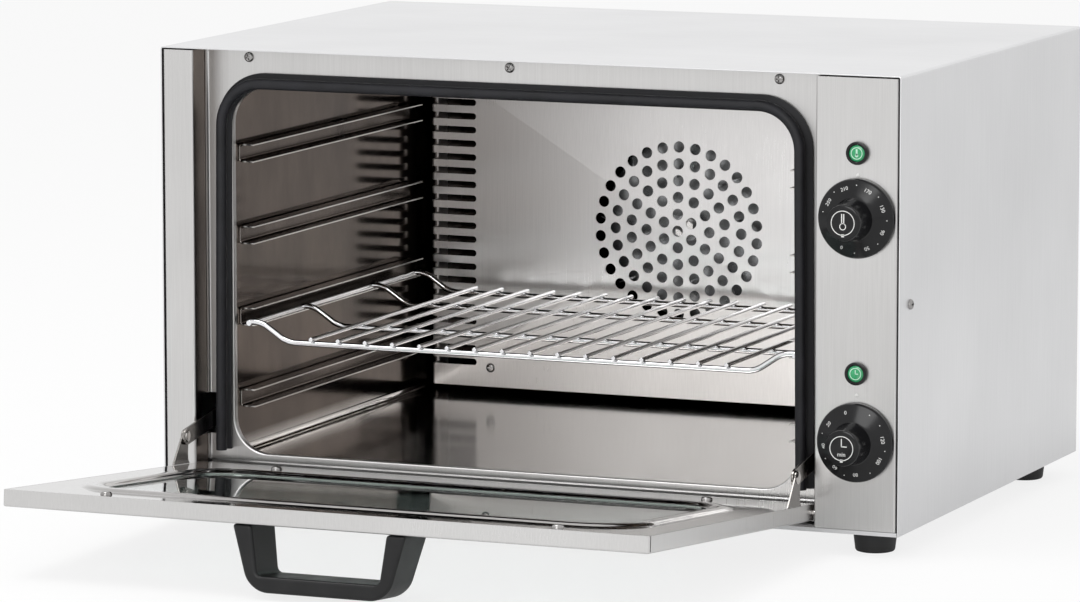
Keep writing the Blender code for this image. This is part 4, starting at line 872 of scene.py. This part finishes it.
def gasketSection():
    crown = gasket["proud"] - gasket["bulb"]
    halfNeck = gasket["neck"] / 2
    openTurn = math.asin(halfNeck / gasket["bulb"])
    start, end = math.pi * 1.5 + openTurn, math.pi * 3.5 - openTurn
    points = [(0, 0), (gasket["width"], 0), (gasket["width"], gasket["base"] / 2)]
    points.append((gasket["offset"] + halfNeck, gasket["base"]))
    for step in range(gasket["steps"] + 1):
        turn = start + (end - start) * step / gasket["steps"]
        points.append(
            (
                gasket["offset"] + gasket["bulb"] * math.cos(turn),
                crown + gasket["bulb"] * math.sin(turn),
            )
        )
    points.append((gasket["offset"] - halfNeck, gasket["base"]))
    points.append((0, gasket["base"] / 2))
    return [(-x, y) for x, y in points]


half = frontFrame["openingWidth"] / 2
openingTop = frontFrame["openingZ"] + frontFrame["openingHeight"] / 2
gasketLine = drawLine(
    "doorGasket",
    [
        (recess["middle"] - half - gasket["splay"], gasket["end"], 0),
        (recess["middle"] - half, openingTop - gasket["corner"], 0),
        (recess["middle"] - half, openingTop, 0),
        (recess["middle"] + half, openingTop, 0),
        (recess["middle"] + half, openingTop - gasket["corner"], 0),
        (recess["middle"] + half + gasket["splay"], gasket["end"], 0),
    ],
)
edit(gasketLine, "VERT", lambda vert: vert.co.y > openingTop - 0.001)
roundOff(gasket["corner"] * 0.999, 14, "VERTICES")
endEdit(turnOut=False)
gasketObj = sweep(gasketLine, gasketSection(), "doorGasket")
moved(gasketObj, slide((0, recess["depth"] - 0.0003, 0)))
soften(gasketObj, 0.0006, 3, 60)
finishPiece(smooth(gasketObj, 50), siliconeRubber, "housing", ["door_gasket"])

# Cavity liner: a box open to the front with rounded bends
liner = {
    "half": 0.2326,
    "front": 0.0253,
    "back": 0.402,
    "low": 0.0237,
    "high": 0.3095,
    "bend": 0.006,
    # radius, x and z of the holes for the motor's shaft and the thermostat's probe
    "holes": ((0.005, 0, 0.168), (0.0038, 0.01486, 0.07417), (0.0038, -0.01486, 0.07417)),
}
linerObj = addBox(
    "cavityLiner",
    (recess["middle"] - liner["half"], liner["front"], liner["low"]),
    (recess["middle"] + liner["half"], liner["back"], liner["high"]),
)
edit(linerObj, "FACE", lambda face: face.normal.y < -0.9)
bpy.ops.mesh.delete(type="FACE")
pick(linerObj, "EDGE", lambda edge: not edge.is_boundary)
roundOff(liner["bend"], 6)
endEdit()
thicken(linerObj, casing["sheet"], 1)
for radius, x, z in liner["holes"]:
    drill(linerObj, (recess["middle"] + x, 0.398, z), (recess["middle"] + x, 0.407, z), radius)
finishPiece(smooth(linerObj), linerSteel, "housing", ["cavity_liner"])

# Tray rails: channels open to the cavity
rail = {
    "web": 0.2318,
    "reach": 0.012,
    "height": 0.013,
    "bend": 0.002,
    "front": 0.036,
    "back": 0.356,
    "middles": (0.2562, 0.1928, 0.1294, 0.066),
}
tip, high = rail["web"] - rail["reach"], rail["height"] / 2
corners = ((tip, -high), (rail["web"], -high), (rail["web"], high), (tip, high))
railMaster = foldedSheet(
    "rail",
    [(x, rail["front"], z) for x, z in corners],
    rail["bend"],
    rail["back"] - rail["front"],
    casing["sheet"],
)
for capital, name, side in sides:
    for level, z in enumerate(rail["middles"], 1):
        railObj = copyOf(railMaster, f"rail{capital}{level}", (recess["middle"], 0, z), side < 0)
        node = f"rail_{name}_{level}"
        finishPiece(smooth(railObj), cavitySteel, "housing", [node])
        # the front ends and the tips of the sheet get the bright sheet: a painted highlight along
        # these edges
        front, edge = rail["front"] + casingLow.y, recess["middle"] + side * tip
        coat(
            railObj,
            brightSteel,
            lambda face: abs(spot(face).y - front) < 0.0002 or abs(spot(face).x - edge) < 0.0003,
        )
putAway(railMaster)
print("cavity made")

# Fan baffle: cross-broken sheet, folded back at its sides, with holes and slots
baffle = {
    "half": 0.2183,
    "face": 0.3725,
    "rear": 0.4017,
    "low": 0.0307,
    "high": 0.2995,
    "bulge": 0.006,
    "fanZ": 0.168,
    "rings": 5,
    "perRing": 6,
    "pitch": 0.0136,
    "hole": 0.0046,
    "slots": 21,
    "slotFirst": 0.0504,
    "slotPitch": 0.01125,
    "slotHeight": 0.0054,
    "slotReach": 0.0395,
    "slotOver": 0.0047,
    "slotWrap": 0.010,
    "bend": 0.0016,
}
baffleObj = addBox(
    "fanBaffle",
    (recess["middle"] - baffle["half"], baffle["face"], baffle["low"]),
    (recess["middle"] + baffle["half"], baffle["rear"], baffle["high"]),
)
edit(baffleObj, "FACE", lambda face: face.normal.y > 0.9 or abs(face.normal.z) > 0.9)
bpy.ops.mesh.delete(type="FACE")
pick(baffleObj, "FACE", lambda face: face.normal.y < -0.9)
bpy.ops.mesh.poke()
pick(baffleObj, "VERT", lambda vert: abs(vert.co.x - recess["middle"]) < 0.01)
grid = bmesh.from_edit_mesh(baffleObj.data)
apex = next(vert for vert in grid.verts if vert.select)
shift = Vector((recess["middle"], baffle["face"] - baffle["bulge"], baffle["fanZ"])) - apex.co
bpy.ops.transform.translate(value=shift)
pick(
    baffleObj,
    "EDGE",
    lambda edge: not edge.is_boundary
    and abs(abs(spot(edge).x - recess["middle"]) - baffle["half"]) < hair
    and spot(edge).y < baffle["face"] + hair,
)
roundOff(baffle["bend"], 5)
endEdit()
thicken(baffleObj, casing["sheet"])

hole = addRod("hole", (0, 0.35, 0), (0, 0.38, 0), baffle["hole"], 20)
cutters = []
for ring in range(baffle["rings"] + 1):
    count = max(1, baffle["perRing"] * ring)
    for number in range(count):
        turn = 2 * math.pi * number / count
        x = recess["middle"] + ring * baffle["pitch"] * math.sin(turn)
        z = baffle["fanZ"] + ring * baffle["pitch"] * math.cos(turn)
        cutters.append(copyOf(hole, "hole", (x, 0, z)))
cutAway(baffleObj, joined("holeCutters", cutters))
# the slots run out past the folded sides
slotX = baffle["half"] - baffle["slotReach"] / 2 + baffle["slotOver"]
slotWidth = baffle["slotReach"] + 2 * baffle["slotOver"]
slotEnd = baffle["slotHeight"] * 0.499
far = baffle["face"] + baffle["slotWrap"]
slot = addPrism("slot", 0, 0, slotWidth, baffle["slotHeight"], slotEnd, 0.36, far, 6)
cutters = []
for number in range(baffle["slots"]):
    z = baffle["slotFirst"] + number * baffle["slotPitch"]
    for side in (-1, 1):
        cutters.append(copyOf(slot, "slot", (recess["middle"] + side * slotX, 0, z)))
cutAway(baffleObj, joined("slotCutters", cutters))
putAway(hole, slot)
finishPiece(smooth(baffleObj, 1.2), baffleSteel, "housing", ["fan_baffle"])
print("baffle made")

# Wire rack: side rods, dished cross rods and a deck of bars
rack = {
    "half": 0.224,
    "sideZ": 0.126,
    "crossZ": 0.12715,
    "drop": 0.0145,
    "flat": 0.214,
    "slope": 0.0218,
    "rodPlaces": (0.0045, 0.0989, 0.2301, 0.314),
    "rod": 0.0023,
    "bar": 0.0018,
    "bars": 16,
    "pitch": 0.02275,
    "barZ": 0.11615,
    "tip": 0.0045,
    "middle": -0.0155,
    "bend": 0.006,
}
low, foot = rack["crossZ"] - rack["drop"], rack["flat"] - rack["slope"]
points = [(rack["half"], rack["crossZ"]), (rack["flat"], rack["crossZ"]), (foot, low)]
line = [(x, 0, z) for x, z in points] + [(-x, 0, z) for x, z in reversed(points)]
crossRod = wire("crossRod", line, rack["rod"], rack["bend"], 6, 4)
first, last = rack["rodPlaces"][0], rack["rodPlaces"][-1]
ends = [(0, y, rack["sideZ"]) for y in (first - rack["rod"], last + rack["rod"])]
sideRod = wire("sideRod", ends, rack["rod"], roundness=4)
ends = [(0, y, rack["barZ"]) for y in (first - rack["tip"], last + rack["tip"])]
bar = wire("bar", ends, rack["bar"])
wirePlaces = [(crossRod, 0, y) for y in rack["rodPlaces"]]
wirePlaces += [(sideRod, side * rack["half"], 0) for side in (-1, 1)]
for number in range(rack["bars"]):
    wirePlaces.append((bar, (number - (rack["bars"] - 1) / 2) * rack["pitch"], 0))
wires = [
    copyOf(master, "wire", (rack["middle"] + x, recess["depth"] + y, 0))
    for master, x, y in wirePlaces
]
putAway(crossRod, sideRod, bar)
rackObj = joined("wireRack", wires)
soften(rackObj, 0.0004, 2, 70)
finishPiece(smooth(rackObj, 50), chromeWire, "rack", ["wire_rack"])
print("rack made")

# Door
door = {
    "half": 0.2511,
    "outer": -0.00625,
    "inner": 0.00625,
    "low": -0.0048,
    "high": 0.3243,
    "bend": 0.0016,
    "sheet": 0.001,
    "room": 0.0013,
    "windowWidth": 0.3908,
    "windowLow": 0.0732,
    "windowHigh": 0.2723,
    "windowRadius": 0.030,
    "glass": 0.003,
    "glassMargin": 0.010,
}
bead = {
    "width": 0.020,
    "sideWidth": 0.030,
    # each step in from the outside of the rib, and how far it rises
    "steps": (
        (0.0012, 0.0001),
        (0.0012, 0.0004),
        (0.0013, 0.0007),
        (0.0013, 0.0006),
        (0.0015, 0.0004),
        (0.0020, 0.0002),
        (0.0030, 0.0),
        (0.0020, -0.0002),
        (0.0015, -0.0004),
        (0.0013, -0.0006),
        (0.0013, -0.0007),
        (0.0012, -0.0006),
        (0.0012, -0.0003),
    ),
}
windowZ = (door["windowLow"] + door["windowHigh"]) / 2
windowHeight = door["windowHigh"] - door["windowLow"]


# The window, wider by one margin at its sides and by another above and below
def windowOutline(aside=0, above=0):
    width, height = door["windowWidth"] + 2 * aside, windowHeight + 2 * above
    return 0, windowZ, width, height, door["windowRadius"] + above


shell = addBox(
    "doorShell",
    (-door["half"], door["outer"], door["low"]),
    (door["half"], door["inner"], door["high"]),
)
edit(shell, "FACE", lambda face: face.normal.y > 0.9)
bpy.ops.mesh.delete(type="FACE")
pick(shell, "EDGE", lambda edge: not edge.is_boundary)
roundOff(door["bend"], 5)
endEdit()
thicken(shell, door["sheet"], -1)
cutAway(
    shell,
    addPrism(
        "windowCutter", *windowOutline(), door["outer"] - 0.004, door["outer"] + 0.004, 14
    ),
    addRod("pinCutter", (-0.26, 0, 0), (-0.245, 0, 0), hinge["pinHole"]),
    addRod("pinCutter", (0.245, 0, 0), (0.26, 0, 0), hinge["pinHole"]),
)
# open seam where the side flanges meet the front one
seam = {"inside": 0.0012, "outside": 0.001, "low": 0.0030, "high": 0.0015}
for side in (-1, 1):
    reaches = (door["half"] - seam["inside"], door["half"] + seam["outside"])
    ends = sorted(side * reach for reach in reaches)
    seamCutter = addBox(
        "seamCutter",
        (ends[0], door["outer"] + seam["inside"], door["high"] - seam["low"]),
        (ends[1], door["inner"] + seam["outside"], door["high"] - seam["high"]),
    )
    cutAway(shell, seamCutter)
soften(shell, 0.0002, 2)
finishPiece(smooth(shell), frontSteel, "door", ["door_shell"], doorPlace)

innerPanel = plateWithWindow(
    "doorInnerPanel",
    (
        0,
        (door["low"] + door["high"]) / 2,
        2 * (door["half"] - door["room"]),
        door["high"] - door["low"] - 2 * door["room"],
    ),
    (*windowOutline(bead["sideWidth"], bead["width"]), 16),
    door["inner"],
)
edit(
    innerPanel,
    "EDGE",
    lambda edge: edge.is_boundary and abs(spot(edge).x) < door["half"] - 0.005
    and door["low"] + 0.005 < spot(edge).z < door["high"] - 0.005,
)
bpy.ops.mesh.edge_face_add()
turnFacesOut()
grid = bmesh.from_edit_mesh(innerPanel.data)
grid.faces.ensure_lookup_table()
if grid.faces[0].normal.y < 0:
    bpy.ops.mesh.flip_normals()
pick(innerPanel, "FACE", lambda face: len(face.verts) > 20)
for inward, rise in bead["steps"]:
    bpy.ops.mesh.inset(thickness=inward, depth=0, use_boundary=True)
    bpy.ops.transform.translate(value=(0, rise, 0))
bpy.ops.mesh.delete(type="FACE")
endEdit(turnOut=False)
thicken(innerPanel, door["sheet"], -1)
finishPiece(
    smooth(innerPanel, 25), doorSteel, "door", ["door_inner_panel"], doorPlace
)

# each pane's name and node, how far in it stands, and its margin at the sides
panes = (
    ("innerGlass", "inner_glass", 0.00195, 0.020),
    ("outerGlass", "outer_glass", -0.00495, 0.010),
)
for name, node, near, margin in panes:
    window = windowOutline(margin, door["glassMargin"])
    pane = addPrism(name, *window, near, near + door["glass"], 14)
    soften(pane, 0.0005, 2)
    finishPiece(smooth(pane), doorGlass, "door", [node], doorPlace)

# Handle: a U that tapers from its feet to the grip
handle = {
    "middle": (-0.0012, -0.00655, 0.3023),
    "baseWidth": 0.135,
    "gripWidth": 0.108,
    "height": 0.048,
    "grip": 0.012,
    "inside": 0.095,
    "insideBase": 0.106,
    "depth": 0.041,
    "gripDepth": 0.038,
    "corner": 0.014,
    "insideCorner": 0.004,
    "round": 0.0026,
}


# Draws a box in towards its lower end and rounds the two corners there
def taper(obj, bottom, across, along, corner, steps):
    edit(obj, "FACE", lambda face: face.normal.z < -0.9)
    bpy.ops.transform.resize(value=(across, along, 1), center_override=(0, 0, bottom))
    pick(obj, "EDGE", lambda edge: spot(edge).z < bottom + hair and abs(spot(edge).x) > 0.02)
    roundOff(corner, steps)
    endEdit()


across, along = handle["baseWidth"] / 2, handle["depth"] / 2
handleObj = addBox("doorHandle", (-across, -along, -handle["height"]), (across, along, 0))
across = handle["gripWidth"] / handle["baseWidth"]
along = handle["gripDepth"] / handle["depth"]
taper(handleObj, -handle["height"], across, along, handle["corner"], 10)
across, under = handle["insideBase"] / 2, handle["grip"] - handle["height"]
inside = addBox("insideCutter", (-across, -0.03, under), (across, 0.03, 0.004))
across = handle["inside"] / handle["insideBase"]
taper(inside, under, across, 1, handle["insideCorner"], 6)
cutAway(handleObj, inside)
soften(handleObj, handle["round"], 4, 45)
moved(handleObj, slide(handle["middle"]) @ spun(-90, "X"))
finishPiece(
    smooth(handleObj, 40), handlePhenolic, "door", ["door_handle"], doorPlace
)
print("door made")

# Stay arms, the ears they hang on, and their rivets
stay = {
    "earX": 0.2500,
    "earSheet": 0.0014,
    "earFoot": (0.0225, 0.0505),
    "earFlare": ((0.0263, 0.0080), (0.0257, 0.0042), (0.0243, 0.0018)),
    "rivetAlong": 0.0315,
    "rivetAbove": 0.0215,
    "head": 0.0055,
    "armX": 0.2481,
    "armSheet": 0.0018,
    "armHalf": 0.0066,
    "armStraight": 0.1048,
    "tail": 0.1114,
    "hook": 0.1044,
    "hookDrop": 0.005,
    "pitch": 9.2,
    "pivot": (-0.025655, 0.043991),
    "hole": 0.0033,
}


def arc(middle, radius, start, end, steps):
    points = []
    for step in range(steps + 1):
        turn = math.radians(start + (end - start) * step / steps)
        points.append((middle[0] + radius * math.cos(turn), middle[1] + radius * math.sin(turn)))
    return points


# An outline in y and z with a thickness along x
def flatPiece(name, points, x, thickness):
    obj = drawLine(name, [(x - thickness / 2, y, z) for y, z in points], closed=True)
    return drawOut(obj, (thickness, 0, 0))


rivetProfile = [(0.0020, -0.0010), (0.0048, 0.0), (0.0030, 0.00005), (0.0030, 0.0036)]
rivetProfile += [(0.0048, 0.00365), (0.0040, 0.0044), (0.0022, 0.0047)]
earOutline = [(along, 0.0003) for along in stay["earFoot"]]
earOutline += arc((stay["rivetAlong"], stay["rivetAbove"]), stay["head"], 0, 180, 14)
earOutline += stay["earFlare"]
earPoints = [(door["inner"] + above, along) for along, above in earOutline]
rivetPlace = (door["inner"] + stay["rivetAbove"], stay["rivetAlong"])
ear = flatPiece("ear", earPoints, stay["earX"], stay["earSheet"])
drill(ear, (0.24, *rivetPlace), (0.26, *rivetPlace), stay["hole"])
soften(ear, 0.00025, 2)
rivet = turned("rivet", rivetProfile, 32)
outside = stay["earX"] + stay["earSheet"] / 2 + 0.0003
moved(rivet, slide((outside, *rivetPlace)) @ spun(-90, "Y"))
armPoints = [
    (stay["hook"], -stay["armHalf"]),
    (stay["hook"], -stay["armHalf"] - stay["hookDrop"]),
    (stay["tail"], -stay["armHalf"] - stay["hookDrop"]),
]
armPoints += arc((stay["armStraight"], 0), stay["armHalf"], 0, 90, 8)
armPoints += arc((0, 0), stay["armHalf"], 90, 270, 18)
arm = flatPiece("arm", armPoints, stay["armX"], stay["armSheet"])
drill(arm, (stay["armX"] - 0.01, 0, 0), (stay["armX"] + 0.01, 0, 0), stay["hole"])
soften(arm, 0.0003, 2)
armPlace = casingPlace @ slide((recess["middle"], *stay["pivot"])) @ spun(stay["pitch"], "X")
for capital, name, side in sides:
    for master, title, look, body, node, place in (
        (ear, "stayEar", staySteel, "door", "stay_bracket", doorPlace),
        (rivet, "stayRivet", brightSteel, "door", "stay_rivet", doorPlace),
        (arm, "stayArm", staySteel, f"stay_{name}", "stay_arm", armPlace),
    ):
        one = smooth(copyOf(master, title + capital, mirror=side < 0))
        finishPiece(one, look, body, [f"{node}_{name}"], place)
putAway(ear, rivet, arm)
print("stays made")

# Knobs and their printed dials
knob = {
    "lift": 0.001,
    "skirt": 0.0295,
    "rim": 0.003,
    "shoulder": 0.0085,
    "boss": 0.0135,
    "bossFoot": 0.015,
    "height": 0.031,
    "edge": 0.0015,
    "figureRadius": 0.0232,
    "figureSize": 0.0040,
    "dotRadius": 0.0250,
    "dot": 0.0008,
    # a ring on the face, and the dot on it that points to the figures
    "marks": ((addRing, (0, 0), (0.0092, 0.0006)), (addBar, (0, -0.0092), (0.0022, 0.0022))),
}
# angles are clockwise from the top
dials = {
    "thermostat": {
        "z": panelHoles[0][0],
        "figures": {-60: 250, -20: 210, 26: 170, 68: 130, 112: 90, 155: 50, 205: 0},
        "dots": (-80, -40, 3, 47, 90, 134, 180),
        "marks": (
            (addRing, (0, -0.0026), (0.0026, 0.0006, 24)),
            (addBar, (-0.0008, 0.0030), (0.0008, 0.0075)),
            (addBar, (0.0008, 0.0030), (0.0008, 0.0075)),
        ),
    },
    "timer": {
        "z": panelHoles[1][0],
        "figures": {-15: 0, 80: 120, 120: 100, 175: 80, 217: 60, 262: 40, 305: 20},
        "dots": (30, 55, 100, 148, 196, 240, 284),
        "marks": (
            (addText, (0, -0.0045), ("min", 0.0044)),
            (addBar, (0, 0.0042), (0.0007, 0.0060)),
            (addBar, (0.0020, 0.0014), (0.0045, 0.0007)),
        ),
    },
}
slope = math.atan2(knob["shoulder"] - 0.0045, knob["skirt"] - knob["edge"] - 0.0165)
profile = [
    (knob["skirt"] - 0.0004, 0.0),
    (knob["skirt"], 0.0004),
    (knob["skirt"], knob["rim"] - 0.0006),
    (knob["skirt"] - 0.0002, knob["rim"] + 0.0002),
    (knob["skirt"] - 0.0007, knob["rim"] + 0.0010),
    (knob["skirt"] - knob["edge"], knob["rim"] + knob["edge"]),
    (knob["bossFoot"] + 0.0030, knob["shoulder"] - 0.0005),
    (knob["bossFoot"] + 0.0010, knob["shoulder"] + 0.0003),
    (knob["bossFoot"] + 0.0002, knob["shoulder"] + 0.0013),
    (knob["bossFoot"], knob["shoulder"] + 0.003),
    (knob["boss"], knob["height"] - 0.0015),
    (knob["boss"] - 0.0004, knob["height"] - 0.0005),
    (knob["boss"] - 0.0015, knob["height"]),
    (knob["boss"] - 0.0040, knob["height"]),
    (0.0010, knob["height"]),
]


# Where a print lies on the sloping skirt
def onSkirt(angle, radius, lift=0.00003):
    height = knob["shoulder"] - (radius - 0.0165) * math.tan(slope) + lift
    return (
        Matrix.Rotation(-math.radians(angle), 4, "Z")
        @ slide((0, radius, height))
        @ Matrix.Rotation(-slope, 4, "X")
    )


knobMaster = turned("knob", profile, 96)
for name, dial in dials.items():
    place = casingPlace @ slide((panelMiddle, -knob["lift"], dial["z"])) @ facing
    knobObj = smooth(copyOf(knobMaster, f"{name}Knob"), 25)
    finishPiece(knobObj, knobPhenolic, name, [f"{name}_knob"], place)
    prints = []
    for angle, figure in dial["figures"].items():
        text = addText(str(figure), knob["figureSize"])
        prints.append(moved(text, onSkirt(angle, knob["figureRadius"])))
    for angle in dial["dots"]:
        prints.append(moved(addDot(knob["dot"]), onSkirt(angle, knob["dotRadius"])))
    prints += addPrints(knob["marks"] + dial["marks"], slide((0, 0, knob["height"] + 0.00003)))
    finishPiece(joined(f"{name}Print", prints), whiteInk, name, place=place)
putAway(knobMaster)

# Pilot lamps: a black ring with a lens in it
lamp = {
    "ring": 0.0086,
    "lens": 0.0062,
    "lift": 0.0036,
    "marks": ((addRing, (0, 0), (0.0045, 0.0006, 40)),),
}
lamps = {
    "heat": {
        "z": panelHoles[2][0],
        "marks": ((addBar, (0, 0.0008), (0.0014, 0.0046)), (addDot, (0, -0.0016), (0.0026,))),
    },
    "timer": {
        "z": panelHoles[3][0],
        "marks": (
            (addBar, (0, 0.0014), (0.0007, 0.0032)),
            (addBar, (0.0010, 0), (0.0024, 0.0007)),
        ),
    },
}
ring, lens, lift = lamp["ring"], lamp["lens"], lamp["lift"]
ringProfile = [
    (0.006, 0.0003),
    (ring - 0.0003, 0.0003),
    (ring, 0.0006),
    (ring, lift - 0.0009),
    (ring - 0.0003, lift - 0.0002),
    (ring - 0.0009, lift),
    (lens + 0.0006, lift),
    (lens + 0.0001, lift - 0.0003),
    (lens, lift - 0.0012),
]
lensProfile = [
    (lens, -0.020),
    (lens - 0.0001, lift - 0.0012),
    (lens - 0.0006, lift - 0.0008),
    (lens - 0.0020, lift - 0.0005),
    (0.0010, lift - 0.0004),
]
ringMaster = turned("lampRing", ringProfile)
lensMaster = turned("lampLens", lensProfile)
for name, each in lamps.items():
    place = casingPlace @ slide((panelMiddle, 0, each["z"])) @ facing
    ringObj = smooth(copyOf(ringMaster, f"{name}LampRing"))
    finishPiece(ringObj, knobPhenolic, "housing", [f"{name}_lamp"], place)
    lensObj = smooth(copyOf(lensMaster, f"{name}LampLens"))
    finishPiece(lensObj, greenLens, "housing", place=place)
    marks = joined(f"{name}LampPrint", addPrints(lamp["marks"] + each["marks"]))
    place = place @ slide((0, 0, lift - 0.00043))
    finishPiece(marks, greenInk, "housing", place=place)
putAway(ringMaster, lensMaster)
print("controls made")

# Feet
foot = {
    "x": 0.2705,
    "rows": (("front", 0.033), ("rear", 0.382)),
    "top": 0.0165,
    "base": 0.015,
    "height": 0.017,
}
footProfile = [
    (foot["base"] - 0.0022, -foot["height"]),
    (foot["base"] - 0.0010, -foot["height"] + 0.0004),
    (foot["base"] - 0.0002, -foot["height"] + 0.0014),
    (foot["base"], -foot["height"] + 0.0026),
    (foot["top"] - 0.0001, -0.0030),
    (foot["top"], -0.0022),
    (foot["top"] - 0.0003, -0.0009),
    (foot["top"] - 0.0010, -0.0003),
]
footMaster = turned("foot", footProfile)
for row, y in foot["rows"]:
    for capital, name, side in sides:
        title = f"foot{row.capitalize()}{capital}"
        footObj = smooth(copyOf(footMaster, title, (side * foot["x"], y, 0)))
        finishPiece(footObj, footRubber, "housing", [f"foot_{row}_{name}"])
putAway(footMaster)

# Screws: pan heads with a cross recess; the door's studs are plain domes
screw = {
    "radius": 0.0039,
    "height": 0.0022,
    "frameX": (-0.2363, -0.0197, 0.1966),
    "frameZ": 0.332,
    "baffle": (0.1666, 0.0464),
    "side": (0.023, 0.170),
}
stud = {"radius": 0.0043, "height": 0.0024, "x": 0.1760, "heights": (0.022, 0.3085)}


def makeScrew(radius, height, recessed=True):
    profile = [
        (radius, 0.0),
        (radius, height * 0.25),
        (radius * 0.92, height * 0.62),
        (radius * 0.72, height * 0.90),
        (radius * 0.40, height),
    ]
    head = turned("screw", profile, 32)
    if recessed:
        for size in ((1.2, 0.3), (0.3, 1.2)):
            x, y = (radius * share / 2 for share in size)
            cutAway(head, addBox("cross", (-x, -y, height * 0.1), (x, y, height * 2)))
    return smooth(head, 35)


# A copy of a small part at each place
def copies(master, look, body, places):
    for name, place in places.items():
        finishPiece(copyOf(master, name), look, body, place=place)
    putAway(master)


places = {}
for number, x in enumerate(screw["frameX"]):
    place = casingPlace @ slide((x, recess["depth"], screw["frameZ"])) @ facing
    places[f"frameScrew{number + 1}"] = place @ spun(20 + 35 * number)
for number, side in enumerate((-1, 1)):
    x, z = screw["baffle"]
    place = slide((recess["middle"] + side * x, baffle["face"] - 0.0008, z))
    places[f"baffleScrew{number + 1}"] = casingPlace @ place @ facing
for capital, name, side in sides:
    place = slide((side * casing["width"] / 2, *screw["side"])) @ spun(side * 90, "Y")
    places[f"sideScrew{capital}"] = casingPlace @ place
head = makeScrew(screw["radius"], screw["height"])
copies(head, screwSteel, "housing", places)

places = {}
for z in stud["heights"]:
    for side in (-1, 1):
        place = slide((side * stud["x"], door["inner"], z)) @ spun(-90, "X")
        places[f"doorStud{len(places) + 1}"] = doorPlace @ place
dome = makeScrew(stud["radius"], stud["height"], recessed=False)
copies(dome, screwSteel, "door", places)

# Index dots above the knobs
indexDot = {
    "profile": [(0.0014, 0.0), (0.0013, 0.0005), (0.0006, 0.0009)],
    "heights": (0.2663, 0.1037),
}
places = {}
for z in indexDot["heights"]:
    places[f"indexDot{len(places) + 1}"] = casingPlace @ slide((panelMiddle, 0, z)) @ facing
nub = smooth(turned("nub", indexDot["profile"], 16))
copies(nub, whiteInk, "housing", places)
print("small parts made")

# The CAD nodes that stay, each with its finish
kept = {
    coverSteel: ("base_tray", "rear_panel", "motor_cover"),
    zincSteel: (
        "stay_guide_left",
        "stay_guide_right",
        "motor_bracket",
        "motor_stator",
        "motor_rotor",
        "thermostat_spindle",
        "timer_spindle",
    ),
    brightSteel: ("hinge_pin_left", "hinge_pin_right", "motor_shaft", "impeller_nut"),
    fanAluminium: ("fan_impeller",),
    cavitySteel: ("heating_element",),
    copperWire: ("motor_coil", "thermostat_probe"),
    mineralWool: ("insulation_blanket",),
    whiteNylon: ("terminal_block", "thermostat_body", "timer_body"),
    knobPhenolic: ("cable_gland",),
}
for look, names in kept.items():
    for name in names:
        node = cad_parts[name]
        for slotPlace in node.material_slots:
            slotPlace.material = look


# 1 for the kinds of ray that are named, 0 for the rest
def seenBy(tree, *kinds):
    rays = addNode(tree, "ShaderNodeLightPath")
    most = 0.0
    for kind in kinds:
        highest = {0: most, 1: rays.outputs[kind]}
        most = addNode(tree, "ShaderNodeMath", {"operation": "MAXIMUM"}, highest).outputs[0]
    return most


# Floor, light and camera
studio = {
    "floor": 12.0,
    "floorColour": "#F2F2F2",
    "worldStrength": 0.75,
    "glow": 0.8,
    "mirroredGlow": 0.25,
}
deselect()
bpy.ops.mesh.primitive_plane_add(size=studio["floor"], location=(0, 0, 0))
floor = named("studioFloor")
edit(floor, "FACE")
bpy.ops.mesh.subdivide(number_cuts=3)
endEdit(turnOut=False)
floorLook, floorTree, floorShader = newMaterial(
    "matteStudioPaper", Roughness=0.9, **{"Base Color": colour(studio["floorColour"])}
)
seen = seenBy(floorTree, "Is Camera Ray", "Is Transmission Ray")
share = spread(floorTree, seen, studio["mirroredGlow"], studio["glow"], 0, 1)
glow = addNode(floorTree, "ShaderNodeEmission", inputs={"Color": (1, 1, 1, 1), "Strength": 1.0})
surfaces = {"Fac": share, 1: floorShader.outputs["BSDF"], 2: glow.outputs["Emission"]}
mixed = addNode(floorTree, "ShaderNodeMixShader", inputs=surfaces)
floorTree.links.new(mixed.outputs["Shader"], floorTree.nodes["Material Output"].inputs["Surface"])
floor.data.materials.append(floorLook)

world = bpy.data.worlds.new("studio")
bpy.context.scene.world = world
world.use_nodes = True
worldTree = world.node_tree
background = worldTree.nodes["Background"]
seen = seenBy(worldTree, "Is Camera Ray", "Is Glossy Ray", "Is Transmission Ray")
strength = spread(worldTree, seen, studio["worldStrength"], 1.0, 0, 1)
background.inputs["Color"].default_value = (1, 1, 1, 1)
worldTree.links.new(strength, background.inputs["Strength"])

lights = {
    "overheadSoftbox": {"place": (-0.6, -0.8, 2.6), "aim": (0, 0, 0.2), "size": 1.3, "power": 26},
    "frontSoftbox": {"place": (0.0, -3.4, 1.4), "aim": (0, 0, 0.2), "size": 1.4, "power": 22},
}
for name, light in lights.items():
    aim = Vector(light["aim"]) - Vector(light["place"])
    deselect()
    bpy.ops.object.light_add(
        type="AREA",
        location=light["place"],
        rotation=aim.to_track_quat("-Z", "Y").to_euler(),
    )
    lampObj = bpy.context.object
    lampObj.name = name
    lampObj.data.size = light["size"]
    lampObj.data.energy = light["power"]

camera = {
    "place": (1.76239, -4.20102, 0.80336),
    "turn": (82.0500, 0.0491, 22.8684),
    "lens": 201.88,
    "shift": (-0.00291, 0.00107),
}
deselect()
bpy.ops.object.camera_add(
    location=camera["place"], rotation=[math.radians(angle) for angle in camera["turn"]]
)
view = bpy.context.object
view.data.lens = camera["lens"]
view.data.sensor_width = 36
view.data.shift_x, view.data.shift_y = camera["shift"]
view.data.clip_end = 50
bpy.context.scene.camera = view
bpy.context.scene.view_settings.view_transform = "Standard"
print("studio made")

deselect()
